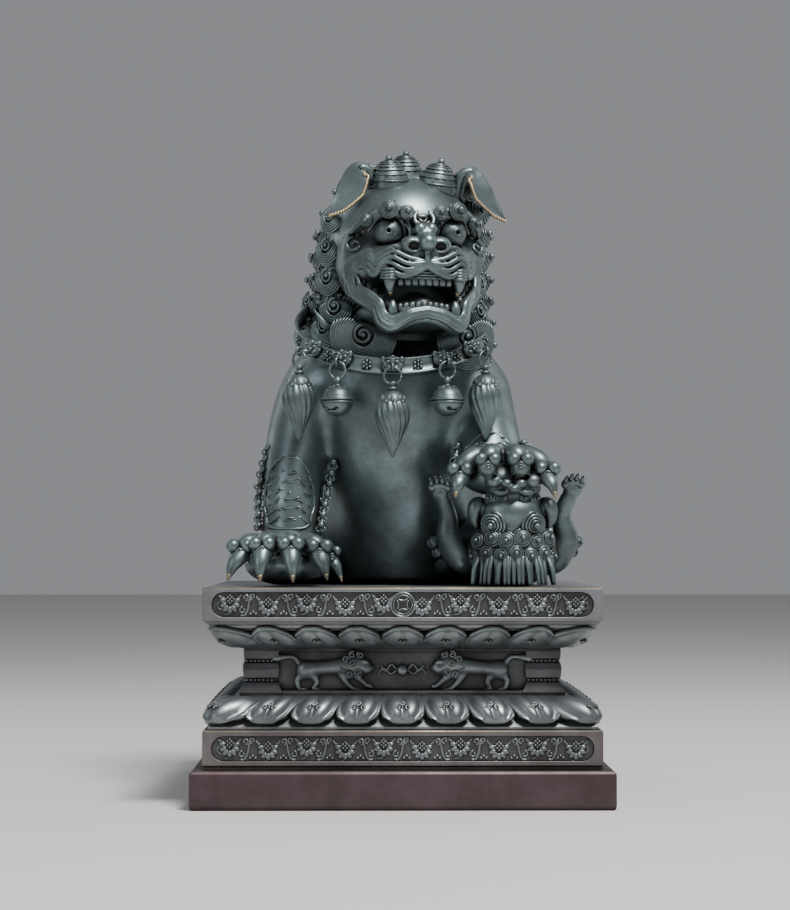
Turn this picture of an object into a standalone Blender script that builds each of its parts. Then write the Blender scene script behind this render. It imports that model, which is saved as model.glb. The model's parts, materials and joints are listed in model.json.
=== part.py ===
"""Bronze guardian lion (foo dog) on a Sumeru pedestal, paw on her cub, with a belled collar.

Frame: metres, +Z up, origin at the centre of the pedestal's underside, the lion facing -Y.
"Left" and "right" in names are the lion's own: her left paw rests on the cub, at +X.
The pedestal is a stack of hollow cast courses round one open core. The lion is cast in
sections that meet at seams, and five pendants hang from eyes on the collar.
"""

from math import cos, pi, radians, sin

import bmesh
import bpy
from mathutils import Matrix, Vector

# ---------------------------------------------------------------- driving dimensions
SEAM = 0.0003  # gap kept between castings that meet

PLINTH = (0.130, 0.1425)  # half width and half depth of the bottom plinth
BLOCK = (0.1225, 0.135)  # frieze block and top slab
WAIST = (0.0975, 0.110)
PLINTH_TOP = 0.0240
BLOCK_BASE = 0.0262
BLOCK_TOP = 0.0482
LOTUS_TOP = 0.0690
WAIST_TOP = 0.0960
CORONA_TOP = 0.1144
SLAB_TOP = 0.1352
WALL = 0.006  # cast wall of the pedestal
PLINTH_WALL = 0.014
SLAB_WALL = 0.010
SLAB_THICK = 0.006  # roof of the top slab
TORSO_WALL = 0.0045
STUDS = {"front": 0.0, "rear": 0.060}  # the studs that hold the lion down, by their y
STUD_RADIUS = 0.0030
NUT_HEIGHT = 0.0050

PLINTH_EDGE = 0.0012  # chamfer round the plinth's top
FRIEZE_DEPTH = 0.0030
FRIEZE_MARGIN = 0.0030  # rim left above, below and at the ends of a frieze
FRIEZE_PANEL = 0.0016  # thickness of the carved panel in it

COVER_HALF = (0.1115, 0.1240)
COVER_Z = (0.0010, 0.0035)
FLANGE_Z = (0.0040, 0.0080)  # ledge inside the plinth that the cover screws into
FLANGE_OPENING = (0.200, 0.225)
SCREW_AT = (0.104, 0.1165)
SCREW_HOLE = 0.0019
SCREW_PROFILE = (
    (0, 0.0002), (0.0030, 0.0002), (0.0030, 0.0007), (0.0016, 0.0007), (0.0016, 0.0078), (0, 0.0078),
)
FELT_SIZE = (0.190, 0.214, 0.0006)

COLLAR_CENTRE = (-0.006, -0.034)
COLLAR_RADII = (0.068, 0.062)
COLLAR_FRONT_Z = 0.2735  # band's mid height at the front
COLLAR_SLOPE = 0.60  # rise per metre towards the back
BAND = (0.0104, 0.0026)  # height and thickness of the collar band

HEAD = Vector((0.001, -0.045, 0.352))
HEAD_TURN = radians(13)

RING_RADIUS = 0.0054
RING_WIRE = 0.0008
EYE_RADIUS = 0.0024
EYE_DROP = 0.0012  # from the band's middle line down to the eye's centre
BELL_RADIUS = 0.0100
BELL_WALL = 0.0010
BELL_SQUASH = 0.92  # height of a bell over its width
BELL_NECK = 0.0055
BELL_SLOT = (0.0130, 0.0016, 0.0120)
PELLET_RADIUS = 0.0028

# Name, kind, angle round the collar from the front (degrees, towards +X), extra stand-off.
PENDANTS = (
    ("right_tassel", "tassel", -46, 0.0090),
    ("right_bell", "bell", -27, 0.0030),
    ("centre_tassel", "tassel", 0, 0.0030),
    ("left_bell", "bell", 27, 0.0030),
    ("left_tassel", "tassel", 46, 0.0090),
)

# Outlines of the pedestal's courses are (x inset from BLOCK, z), bottom to top.
WAIST_INSET = BLOCK[0] - WAIST[0]
PLINTH_INSET = BLOCK[0] - PLINTH[0]
PLINTH_PROFILE = (
    (PLINTH_INSET, 0.0), (PLINTH_INSET, PLINTH_TOP - PLINTH_EDGE), (PLINTH_INSET + PLINTH_EDGE, PLINTH_TOP),
)
LOWER_BLOCK_PROFILE = (
    (-0.0030, PLINTH_TOP + SEAM), (-0.0030, BLOCK_BASE), (0.0, BLOCK_BASE), (0.0, BLOCK_TOP),
)
LOWER_LOTUS_PROFILE = (
    (0.0030, BLOCK_TOP + SEAM), (0.0030, 0.0515), (-0.0005, 0.0545), (0.0010, 0.0590),
    (0.0080, 0.0640), (0.0180, 0.0675), (WAIST_INSET - 0.002, LOTUS_TOP),
)
WAIST_PROFILE = (
    (WAIST_INSET - 0.002, LOTUS_TOP + SEAM), (WAIST_INSET, LOTUS_TOP + 0.0020),
    (WAIST_INSET, WAIST_TOP - 0.0020), (WAIST_INSET - 0.001, WAIST_TOP),
)
UPPER_LOTUS_PROFILE = (
    (WAIST_INSET - 0.001, WAIST_TOP + SEAM), (0.0160, 0.0985), (0.0070, 0.1020), (0.0015, 0.1070),
    (0.0015, 0.1105), (0.0050, 0.1125), (0.0050, CORONA_TOP),
)
SLAB_PROFILE = ((0.0, CORONA_TOP + SEAM), (0.0, SLAB_TOP - 0.0008), (0.0008, SLAB_TOP))

# A tassel's outline is (radius, depth below the stem's top).
TASSEL_PROFILE = (
    (0, 0), (0.0016, 0), (0.0016, 0.0030), (0.0034, 0.0045), (0.0034, 0.0060), (0.0018, 0.0080),
    (0.0050, 0.0110), (0.0092, 0.0160), (0.0105, 0.0200), (0.0100, 0.0270), (0.0075, 0.0340),
    (0.0035, 0.0410), (0.0008, 0.0470), (0, 0.0475),
)

# Sections are (z, centre x, centre y, half width, half depth), bottom to top.
TORSO = (
    (SLAB_TOP + SEAM, 0.000, 0.030, 0.050, 0.060),
    (0.160, 0.000, 0.020, 0.056, 0.073),
    (0.190, 0.000, 0.008, 0.059, 0.079),
    (0.220, 0.000, -0.002, 0.061, 0.081),
    (0.250, -0.001, -0.014, 0.062, 0.074),
    (0.270, -0.002, -0.023, 0.063, 0.066),
    (0.290, -0.003, -0.028, 0.060, 0.060),
    (0.301, -0.003, -0.026, 0.052, 0.050),
    (0.310, -0.003, -0.024, 0.040, 0.038),
)
RIGHT_LEG = (
    (0.158, -0.067, -0.060, 0.0235, 0.024),
    (0.180, -0.066, -0.056, 0.0235, 0.024),
    (0.205, -0.064, -0.048, 0.0225, 0.024),
    (0.230, -0.061, -0.036, 0.0235, 0.028),
    (0.255, -0.055, -0.026, 0.0250, 0.032),
    (0.275, -0.049, -0.022, 0.0240, 0.030),
    (0.288, -0.042, -0.020, 0.0180, 0.022),
)
LEFT_LEG = (
    (0.196, 0.064, -0.072, 0.0220, 0.020),
    (0.212, 0.060, -0.062, 0.0230, 0.023),
    (0.230, 0.056, -0.046, 0.0250, 0.027),
    (0.250, 0.051, -0.032, 0.0260, 0.031),
    (0.270, 0.046, -0.024, 0.0250, 0.030),
    (0.286, 0.039, -0.021, 0.0190, 0.022),
)
HAUNCH = (
    (SLAB_TOP + SEAM, 0.060, 0.040, 0.020, 0.052),
    (0.150, 0.061, 0.041, 0.027, 0.054),
    (0.172, 0.059, 0.046, 0.030, 0.048),
    (0.196, 0.054, 0.050, 0.028, 0.038),
    (0.214, 0.046, 0.050, 0.020, 0.026),
)
MANE = (
    (0.2880, 0.000, -0.004, 0.052, 0.050),
    (0.3050, 0.001, -0.008, 0.061, 0.056),
    (0.3300, 0.003, -0.010, 0.063, 0.058),
    (0.3550, 0.004, -0.012, 0.060, 0.056),
    (0.3800, 0.005, -0.018, 0.053, 0.050),
    (0.4000, 0.006, -0.026, 0.040, 0.040),
    (0.4120, 0.006, -0.030, 0.030, 0.030),
    (0.4180, 0.006, -0.030, 0.016, 0.016),
)


# ---------------------------------------------------------------- materials
def bronze(name, colour, roughness, metallic=0.9):
    made = bpy.data.materials.new(name)
    made.use_nodes = True
    shader = made.node_tree.nodes["Principled BSDF"]
    shader.inputs["Base Color"].default_value = (*colour, 1)
    shader.inputs["Roughness"].default_value = roughness
    shader.inputs["Metallic"].default_value = metallic
    return made


# ---------------------------------------------------------------- making meshes
def new_object(name, mesh_builder, material=None):
    """An object whose mesh is what mesh_builder leaves in a fresh bmesh."""
    shape = bmesh.new()
    mesh_builder(shape)
    bmesh.ops.recalc_face_normals(shape, faces=shape.faces)
    mesh = bpy.data.meshes.new(name)
    shape.to_mesh(mesh)
    shape.free()
    mesh.shade_smooth()
    mesh.set_sharp_from_angle(angle=radians(40))
    made = bpy.data.objects.new(name, mesh)
    bpy.context.scene.collection.objects.link(made)
    if material:
        made.data.materials.append(material)
    return made


def bridge(shape, lower, upper):
    for i in range(len(lower)):
        j = (i + 1) % len(lower)
        shape.faces.new((lower[i], lower[j], upper[j], upper[i]))


def skin(shape, loops, closed=False):
    """Bridges loops of vertices in order, capping the ends unless they close in a ring."""
    for lower, upper in zip(loops, loops[1:]):
        bridge(shape, lower, upper)
    if closed:
        bridge(shape, loops[-1], loops[0])
    else:
        shape.faces.new(loops[0][::-1])
        shape.faces.new(loops[-1])


def rectangle(shape, half_x, half_y, z):
    corners = ((-1, -1), (1, -1), (1, 1), (-1, 1))
    return [shape.verts.new((half_x * sx, half_y * sy, z)) for sx, sy in corners]


def ellipse(shape, z, cx, cy, rx, ry, segments):
    turns = [2 * pi * i / segments for i in range(segments)]
    return [shape.verts.new((cx + rx * cos(t), cy + ry * sin(t), z)) for t in turns]


def course(name, profile, material, wall=WALL, roof=0.0):
    """A pedestal course from an outer profile of (x inset from BLOCK, z), hollow inside.

    With no roof the core is open top and bottom. With a roof it is a tray, mouth down.
    """

    def build(shape):
        outer = [rectangle(shape, BLOCK[0] - inset, BLOCK[1] - inset, z) for inset, z in profile]
        deepest = max(inset for inset, _ in profile) + wall
        low, high = profile[0][1], profile[-1][1] - roof
        inner = [rectangle(shape, BLOCK[0] - deepest, BLOCK[1] - deepest, z) for z in (high, low)]
        if roof:
            skin(shape, [inner[0], inner[1], *outer])
        else:
            skin(shape, [*outer, *inner], closed=True)

    return new_object(name, build, material)


def stacked(name, sections, material=None, segments=24):
    """A closed body lofted through horizontal ellipses."""

    def build(shape):
        skin(shape, [ellipse(shape, *section, segments) for section in sections])

    return new_object(name, build, material)


def stacked_shell(name, sections, wall, material, segments=24):
    """A lofted casting that is hollow and open underneath."""

    def build(shape):
        outer = [ellipse(shape, *section, segments) for section in sections]
        inner = []
        for z, cx, cy, rx, ry in sections[:-1]:
            inner.append(ellipse(shape, z, cx, cy, rx - wall, ry - wall, segments))
        skin(shape, [*inner[::-1], *outer])

    return new_object(name, build, material)


def turned(name, profile, material=None, segments=16, closed=False):
    """A body turned about Z from (radius, z) points. A point on the axis becomes a pole."""

    def build(shape):
        loops = []
        for radius, z in profile:
            if radius == 0:
                loops.append([shape.verts.new((0, 0, z))])
            else:
                loops.append(ellipse(shape, z, 0, 0, radius, radius, segments))
        pairs = list(zip(loops, loops[1:]))
        if closed:
            pairs.append((loops[-1], loops[0]))
        for lower, upper in pairs:
            if len(lower) == 1 and len(upper) == 1:
                continue
            for i in range(segments):
                j = (i + 1) % segments
                if len(lower) == 1:
                    shape.faces.new((lower[0], upper[j], upper[i]))
                elif len(upper) == 1:
                    shape.faces.new((lower[i], lower[j], upper[0]))
                else:
                    shape.faces.new((lower[i], lower[j], upper[j], upper[i]))

    return new_object(name, build, material)


def tube(name, centres, radii, material=None, segments=12, side=Vector((1, 0, 0))):
    """A tube through centres with an elliptic section: radii are (along side, across it)."""
    points = [Vector(p) for p in centres]

    def build(shape):
        loops = []
        for i, point in enumerate(points):
            along = points[min(i + 1, len(points) - 1)] - points[max(i - 1, 0)]
            across = along.cross(side).normalized()
            wide = across.cross(along).normalized()
            ra, rb = radii[i]
            turns = [2 * pi * k / segments for k in range(segments)]
            loops.append(
                [shape.verts.new(point + wide * ra * cos(t) + across * rb * sin(t)) for t in turns]
            )
        skin(shape, loops)

    return new_object(name, build, material)


def ball(name, centre, radii, material=None, segments=16, rings=10):
    def build(shape):
        bmesh.ops.create_uvsphere(shape, u_segments=segments, v_segments=rings, radius=1)
        bmesh.ops.scale(shape, vec=radii, verts=shape.verts)
        bmesh.ops.translate(shape, vec=centre, verts=shape.verts)

    return new_object(name, build, material)


def block(name, centre, size, material=None):
    def build(shape):
        bmesh.ops.create_cube(shape, size=1)
        bmesh.ops.scale(shape, vec=size, verts=shape.verts)
        bmesh.ops.translate(shape, vec=centre, verts=shape.verts)

    return new_object(name, build, material)


def torus(name, radius, wire, material=None, segments=16, sides=6, upright=True):
    """A ring of wire. Upright rings lie in the local XZ plane, others in the YZ plane."""

    def build(shape):
        loops = []
        for i in range(segments):
            a = 2 * pi * i / segments
            loop = []
            for k in range(sides):
                b = 2 * pi * k / sides
                out = radius + wire * cos(b)
                if upright:
                    loop.append(shape.verts.new((out * sin(a), wire * sin(b), out * cos(a))))
                else:
                    loop.append(shape.verts.new((wire * sin(b), out * sin(a), out * cos(a))))
            loops.append(loop)
        skin(shape, loops, closed=True)

    return new_object(name, build, material)


# ---------------------------------------------------------------- placing and joining
def place(obj, matrix):
    """Moves the mesh itself, so that later cuts work in world coordinates."""
    obj.data.transform(matrix)
    return obj


def combine(obj, other, operation):
    """Applies one Boolean to obj with a mesh object."""
    modifier = obj.modifiers.new(operation, "BOOLEAN")
    modifier.operation = operation
    modifier.object = other
    modifier.solver = "EXACT"
    bpy.context.view_layer.update()
    graph = bpy.context.evaluated_depsgraph_get()
    mesh = bpy.data.meshes.new_from_object(obj.evaluated_get(graph))
    obj.modifiers.clear()
    obj.data = mesh


def union(obj, *others):
    for other in others:
        combine(obj, other, "UNION")
        bpy.data.objects.remove(other)
    return obj


def swollen(obj, gap):
    """A copy of obj, grown by gap along its normals."""
    copy = obj.copy()
    copy.data = obj.data.copy()
    bpy.context.scene.collection.objects.link(copy)
    grown = bmesh.new()
    grown.from_mesh(copy.data)
    bmesh.ops.triangulate(grown, faces=grown.faces)
    grown.normal_update()
    for vertex in grown.verts:
        vertex.co += vertex.normal * gap * vertex.calc_shell_factor()
    grown.to_mesh(copy.data)
    grown.free()
    return copy


def clear_of(obj, *neighbours, gap=SEAM):
    """Cuts obj back from its neighbours, so that a seam of the given gap is left."""
    for neighbour in neighbours:
        cutter = swollen(neighbour, gap)
        combine(obj, cutter, "DIFFERENCE")
        bpy.data.objects.remove(cutter)
    return keep_largest(obj)


def cut(obj, *cutters):
    for cutter in cutters:
        combine(obj, cutter, "DIFFERENCE")
        bpy.data.objects.remove(cutter)
    return keep_largest(obj)


def keep_largest(obj):
    """Drops slivers that a cut leaves loose."""
    mesh = bmesh.new()
    mesh.from_mesh(obj.data)
    left = set(mesh.verts)
    islands = []
    while left:
        found = {left.pop()}
        edge_front = list(found)
        while edge_front:
            vertex = edge_front.pop()
            for edge in vertex.link_edges:
                other = edge.other_vert(vertex)
                if other not in found:
                    found.add(other)
                    edge_front.append(other)
        left -= found
        islands.append(found)
    islands.sort(key=len)
    loose = [v for island in islands[:-1] for v in island]
    bmesh.ops.delete(mesh, geom=loose, context="VERTS")
    mesh.to_mesh(obj.data)
    mesh.free()
    return obj


def mirrored(sections):
    return tuple((z, -cx, cy, rx, ry) for z, cx, cy, rx, ry in sections)


# ---------------------------------------------------------------- pedestal
def stadium(name, half_length, half_height, depth, side, z, inset):
    """A prism with round ends, set across one side of the block at a given inset."""
    arc = 6

    def build(shape):
        ends = []
        for y in (-depth / 2, depth / 2):
            loop = []
            for sign, start in ((1, -pi / 2), (-1, pi / 2)):
                for i in range(arc + 1):
                    a = start + pi * i / arc
                    x = sign * (half_length - half_height) + half_height * cos(a)
                    loop.append(shape.verts.new((x, y, half_height * sin(a))))
            ends.append(loop)
        skin(shape, ends)

    made = new_object(name, build)
    reach = (BLOCK[1] if side % 2 == 0 else BLOCK[0]) - inset
    turn = Matrix.Rotation(side * pi / 2, 4, "Z")
    return place(made, turn @ Matrix.Translation((0, -reach, z)))


def frieze_panels(prefix, course_object, low, high, material):
    """Cuts a round-ended recess in each face of a course and fills it with a panel."""
    half_height = (high - low) / 2 - FRIEZE_MARGIN
    middle = (high + low) / 2
    for side, face in enumerate(("front", "left", "back", "right")):
        half_length = (BLOCK[0] if side % 2 == 0 else BLOCK[1]) - 2 * FRIEZE_MARGIN
        cut(course_object, stadium("recess", half_length, half_height, 2 * FRIEZE_DEPTH, side, middle, 0))
        panel = stadium(
            f"{prefix}_frieze_{face}",
            half_length - SEAM,
            half_height - SEAM,
            FRIEZE_PANEL,
            side,
            middle,
            FRIEZE_DEPTH - SEAM - FRIEZE_PANEL / 2,
        )
        panel.data.materials.append(material)


def drill(obj, centre, radius, reach=0.02):
    """Drills an upright hole through obj about a centre."""
    hole = turned("hole", ((0, -reach), (radius, -reach), (radius, reach), (0, reach)), None, 12)
    cut(obj, place(hole, Matrix.Translation(centre)))


def hexagon_nut(name, across, height, bore, centre, material):
    half = across / 2 / cos(pi / 6)
    inner = bore / cos(pi / 6)
    nut = turned(name, ((inner, 0), (half, 0), (half, height), (inner, height)), material, 6, True)
    return place(nut, Matrix.Translation(centre))


def pedestal(cast, dark, steel, felt):
    """The courses from the floor up, the cover that closes them below, and the felt. Returns the slab."""
    plinth = course("base_plinth", PLINTH_PROFILE, cast, wall=PLINTH_WALL)
    lower_block = course("lower_frieze_block", LOWER_BLOCK_PROFILE, cast)
    frieze_panels("lower", lower_block, BLOCK_BASE, BLOCK_TOP, dark)
    course("lower_lotus_course", LOWER_LOTUS_PROFILE, cast)
    course("waist_block", WAIST_PROFILE, dark)
    course("upper_lotus_course", UPPER_LOTUS_PROFILE, dark)
    slab = course("top_slab", SLAB_PROFILE, cast, wall=SLAB_WALL, roof=SLAB_THICK)
    frieze_panels("upper", slab, CORONA_TOP, SLAB_TOP, dark)
    bottom_closure(plinth, steel, felt)
    return slab


def bottom_closure(plinth, steel, felt):
    """A ledge inside the plinth, the sheet that is screwed to it, its four screws and the felt."""
    flange_size = (2 * (PLINTH[0] - 0.0005), 2 * (PLINTH[1] - 0.0005), FLANGE_Z[1] - FLANGE_Z[0])
    flange = block("flange", (0, 0, sum(FLANGE_Z) / 2), flange_size)
    cut(flange, block("opening", (0, 0, sum(FLANGE_Z) / 2), (*FLANGE_OPENING, 0.02)))
    union(plinth, flange)
    cover_size = (2 * COVER_HALF[0], 2 * COVER_HALF[1], COVER_Z[1] - COVER_Z[0])
    cover = block("bottom_cover", (0, 0, sum(COVER_Z) / 2), cover_size, steel)
    for i, (sx, sy) in enumerate(((-1, -1), (1, -1), (1, 1), (-1, 1)), start=1):
        centre = Vector((sx * SCREW_AT[0], sy * SCREW_AT[1], 0))
        drill(cover, centre, SCREW_HOLE)
        drill(plinth, centre, SCREW_HOLE)
        screw = turned(f"cover_screw_{i}", SCREW_PROFILE, steel, 12)
        place(screw, Matrix.Translation(centre))
    block("base_felt", (0, 0, 0.0002 + FELT_SIZE[2] / 2), FELT_SIZE, felt)


def fixing_stud(end, y, slab, torso, steel):
    """A stud that hangs from a lug across the torso's mouth, through the slab, with its nut."""
    head_radius = 2 * STUD_RADIUS
    head_z = SLAB_TOP + 0.0005
    low, high = SLAB_TOP - 0.018, SLAB_TOP + 0.010
    drill(slab, Vector((0, y, SLAB_TOP)), STUD_RADIUS + SEAM)
    profile = (
        (0, low), (STUD_RADIUS, low), (STUD_RADIUS, head_z),
        (head_radius, head_z), (head_radius, high), (0, high),
    )
    stud = place(turned(f"mounting_stud_{end}", profile, steel, 12), Matrix.Translation((0, y, 0)))
    clear_of(torso, stud)
    nut_z = SLAB_TOP - SLAB_THICK - 0.0005 - NUT_HEIGHT
    bore = STUD_RADIUS + 0.0002
    hexagon_nut(f"mounting_nut_{end}", 0.010, NUT_HEIGHT, bore, (0, y, nut_z), steel)


# ---------------------------------------------------------------- lion's castings
def paw(name, centre, turn, tilt):
    """A paw: a pad with four toes, each with a knuckle and a claw, about its own centre."""
    pad = ball(name, (0, 0.006, 0.0015), (0.0300, 0.0270, 0.0150), None, 16, 8)
    for i, angle in enumerate((-48, -17, 17, 48)):
        a = radians(angle)
        reach = 0.0235 + 0.005 * cos(a)
        toe = Vector((1.15 * reach * sin(a), 0.004 - reach * cos(a), 0.004))
        union(pad, ball("toe", toe, (0.0085, 0.0075, 0.0075), None, 10, 6))
        tip = toe + Vector((0.004 * sin(a), -0.006 * cos(a), -0.0175))
        claw = tube("claw", (toe + Vector((0, -0.001, -0.002)), toe.lerp(tip, 0.5), tip),
                    ((0.0055, 0.0045), (0.0038, 0.0030), (0.0010, 0.0010)), None, 6)
        union(pad, claw)
    matrix = Matrix.Translation(centre) @ Matrix.Rotation(turn, 4, "Z") @ Matrix.Rotation(tilt, 4, "X")
    return place(pad, matrix)


def level_bottom(obj, z=SLAB_TOP + SEAM):
    """Trims whatever reaches below a level."""
    return cut(obj, block("under", (0, 0, z - 0.1), (1, 1, 0.2)))


def lion_body(cast):
    torso = stacked_shell("torso", TORSO, TORSO_WALL, cast)
    solid = stacked("torso_solid", TORSO)
    solid.hide_render = True
    solid.display_type = "WIRE"
    within_wall = swollen(solid, -TORSO_WALL / 2)
    for y in STUDS.values():
        lug = block("lug", (0, y, SLAB_TOP + 0.0065), (0.2, 0.016, 0.0110))
        combine(lug, within_wall, "INTERSECT")
        union(torso, lug)
    bpy.data.objects.remove(within_wall)

    right_leg = stacked("right_foreleg", RIGHT_LEG, cast, 16)
    union(right_leg, level_bottom(paw("paw", (-0.069, -0.079, 0.1515), radians(-4), 0)))
    left_leg = stacked("left_foreleg", LEFT_LEG, cast, 16)
    union(left_leg, paw("paw", (0.066, -0.086, 0.1995), radians(4), radians(16)))
    for leg in (right_leg, left_leg):
        clear_of(leg, solid)

    right_haunch = stacked("right_haunch", mirrored(HAUNCH), cast, 16)
    left_haunch = stacked("left_haunch", HAUNCH, cast, 16)
    for sign, haunch in ((-1, right_haunch), (1, left_haunch)):
        foot = ball("foot", (sign * 0.066, -0.004, 0.146), (0.021, 0.026, 0.0125), None, 16, 8)
        union(haunch, foot)
        level_bottom(haunch)
        clear_of(haunch, solid, right_leg, left_leg)

    tail_path = ((0, 0.086, 0.165), (0, 0.100, 0.190), (0, 0.098, 0.220), (0, 0.086, 0.250),
                 (0, 0.073, 0.276), (0, 0.068, 0.300))
    tail_radii = ((0.012, 0.010), (0.015, 0.012), (0.020, 0.014), (0.022, 0.014),
                  (0.018, 0.012), (0.004, 0.004))
    tail = tube("tail", tail_path, tail_radii, cast, 16)
    clear_of(tail, solid)
    return torso, solid, (right_leg, left_leg), (right_haunch, left_haunch), tail


def cub(cast, lion_parts):
    """The cub on its back: head towards the viewer and crown down, forelegs raised."""
    body = ball("cub_body", (0.065, -0.052, 0.1600), (0.032, 0.036, 0.0235), cast, 16, 10)
    for sign in (-1, 1):
        arm = tube(
            "arm",
            ((0.065 + sign * 0.024, -0.072, 0.152), (0.065 + sign * 0.040, -0.080, 0.160),
             (0.065 + sign * 0.043, -0.080, 0.178), (0.065 + sign * 0.041, -0.082, 0.192)),
            ((0.009, 0.009), (0.010, 0.010), (0.0085, 0.0085), (0.0075, 0.0075)),
            None, 10, side=Vector((0, 1, 0)),
        )
        union(body, arm)
    head = ball("cub_head", (0.066, -0.088, 0.1610), (0.0290, 0.0240, 0.0270), cast, 16, 10)
    for part in (body, head):
        level_bottom(part)
    clear_of(head, *lion_parts)
    clear_of(body, *lion_parts, head)


# ---------------------------------------------------------------- head
def head_matrix():
    return Matrix.Translation(HEAD) @ Matrix.Rotation(HEAD_TURN, 4, "Z")


def lion_head(cast, dark, torso_solid):
    """Skull, jaw, tongue, eyes and ears, modelled facing -Y about the head's own centre."""
    skull = ball("skull", (0, 0.002, 0.010), (0.0470, 0.0480, 0.0430), cast, 20, 12)
    muzzle = ball("muzzle", (0, -0.038, -0.010), (0.0390, 0.0300, 0.0190), None, 18, 10)
    nose = ball("nose", (0, -0.063, -0.001), (0.0120, 0.0090, 0.0085), None, 10, 6)
    union(skull, muzzle, nose)
    cut(skull, block("mouth", (0, -0.060, -0.0345), (0.200, 0.080, 0.0220)))
    cut(skull, block("under_jaw", (0, -0.045, -0.0560), (0.200, 0.120, 0.0300)))

    jaw = ball("lower_jaw", (0, -0.026, -0.0420), (0.0400, 0.0360, 0.0165), cast, 18, 10)
    cut(jaw, ball("mouth_floor", (0, -0.034, -0.0260), (0.0270, 0.0230, 0.0120), None, 16, 8))
    cut(jaw, block("mouth", (0, -0.050, -0.0200), (0.200, 0.200, 0.0260)))
    tongue_path = ((0, -0.016, -0.0335), (0, -0.028, -0.0325), (0, -0.042, -0.0335), (0, -0.050, -0.0345))
    tongue_radii = ((0.010, 0.0030), (0.014, 0.0035), (0.012, 0.0030), (0.006, 0.0020))
    tongue = tube("tongue", tongue_path, tongue_radii, dark, 12)

    eyes = []
    for side, sign in (("right", -1), ("left", 1)):
        eye = ball(f"{side}_eye", (sign * 0.0207, -0.0405, 0.0065), (0.0090,) * 3, cast, 12, 8)
        eyes.append(eye)
    ears = []
    for side, sign in (("right", -1), ("left", 1)):
        path = ((sign * 0.030, 0.004, 0.040), (sign * 0.041, 0.002, 0.048), (sign * 0.051, -0.003, 0.045),
                (sign * 0.0585, -0.008, 0.033), (sign * 0.064, -0.011, 0.019))
        widths = ((0.0080, 0.0050), (0.0085, 0.0040), (0.0125, 0.0030), (0.0120, 0.0025), (0.0020, 0.0015))
        ears.append(tube(f"{side}_ear", path, widths, cast, 12, side=Vector((0, 1, 0))))

    parts = [skull, jaw, tongue, *eyes, *ears]
    for part in parts:
        place(part, head_matrix())
    for eye in eyes:
        clear_of(skull, eye)
    clear_of(skull, torso_solid)
    clear_of(jaw, skull, torso_solid)
    clear_of(tongue, skull, jaw, torso_solid)
    for ear in ears:
        clear_of(ear, skull)
    return skull, jaw, tongue, ears


# ---------------------------------------------------------------- collar and pendants
def collar_point(angle, extra=0.0):
    """(point on the band's middle line, outward direction) at an angle from the front."""
    a = radians(angle)
    outward = Vector((sin(a) / COLLAR_RADII[0], -cos(a) / COLLAR_RADII[1], 0)).normalized()
    x = COLLAR_CENTRE[0] + COLLAR_RADII[0] * sin(a)
    y = COLLAR_CENTRE[1] - COLLAR_RADII[1] * cos(a)
    front_y = COLLAR_CENTRE[1] - COLLAR_RADII[1]
    z = COLLAR_FRONT_Z + COLLAR_SLOPE * (y - front_y)
    return Vector((x, y, z)) + outward * extra, outward


def collar_band(cast, neighbours):
    """The band: a rectangular section swept round the neck, deep enough to seat on it."""
    seat = 0.014
    steps = 36

    def build(shape):
        loops = []
        for i in range(steps):
            point, outward = collar_point(360 * i / steps)
            half = BAND[0] / 2
            loops.append(
                [
                    shape.verts.new(point + outward * out + Vector((0, 0, dz)))
                    for out, dz in (
                        (BAND[1], -half),
                        (BAND[1], half),
                        (-seat, half),
                        (-seat, -half),
                    )
                ]
            )
        skin(shape, loops, closed=True)

    band = new_object("collar_band", build, cast)
    return clear_of(band, *neighbours)


def facing(point, outward):
    """A frame at point whose -Y looks outward and whose X runs along the collar."""
    along = Vector((0, 0, 1)).cross(-outward).normalized() * -1
    rows = Matrix((along, -outward, Vector((0, 0, 1)))).transposed()
    return Matrix.Translation(point) @ rows.to_4x4()


def eye_centre(angle, stand_off):
    point, outward = collar_point(angle, BAND[1] + stand_off + 0.0030)
    return point - Vector((0, 0, EYE_DROP)), outward


def collar_mask(name, angle, stand_off, cast, band):
    """A beast-mask boss on the band with an eye in front, through which the ring passes."""
    centre, outward = eye_centre(angle, stand_off)
    reach = stand_off + 0.0030
    boss = ball("boss", (0, reach - 0.0004, EYE_DROP), (0.0068, 0.0030, 0.0056), None, 10, 6)
    arm_length = reach - EYE_RADIUS + 0.0002
    arm = block("arm", (0, EYE_RADIUS + arm_length / 2 - 0.0002, 0.0012), (0.0026, arm_length, 0.0030))
    eye = torus(name, EYE_RADIUS, RING_WIRE, cast, 12, 6, upright=False)
    union(eye, boss, arm)
    place(eye, facing(centre, outward))
    return clear_of(eye, band)


def hang(name, centre, parts):
    """Parents the pieces of a pendant to an empty on its hinge, which they then move with."""
    hinge = bpy.data.objects.new(f"{name}_hinge", None)
    hinge.location = centre
    bpy.context.scene.collection.objects.link(hinge)
    for part in parts:
        place(part, Matrix.Translation(-centre))
        part.parent = hinge
    bpy.context.view_layer.update()


def pendant(name, kind, angle, stand_off, cast, dark):
    """A ring through the mask's eye, with a tassel or a bell brazed under it."""
    centre, outward = eye_centre(angle, stand_off)
    frame = facing(centre, outward)
    ring = torus(f"{name}_ring", RING_RADIUS, RING_WIRE, cast)
    place(ring, frame @ Matrix.Translation((0, 0, -RING_RADIUS)))
    stem_top = -2 * RING_RADIUS + 0.0016
    if kind == "tassel":
        outline = [(radius, stem_top - depth) for radius, depth in TASSEL_PROFILE[::-1]]
        hung = (turned(name, outline, cast, 14),)
    else:
        hung = bell(name, stem_top, cast, dark)
    for part in hung:
        place(part, frame)
    clear_of(hung[0], ring)
    hang(name, centre, (ring, *hung))


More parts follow.
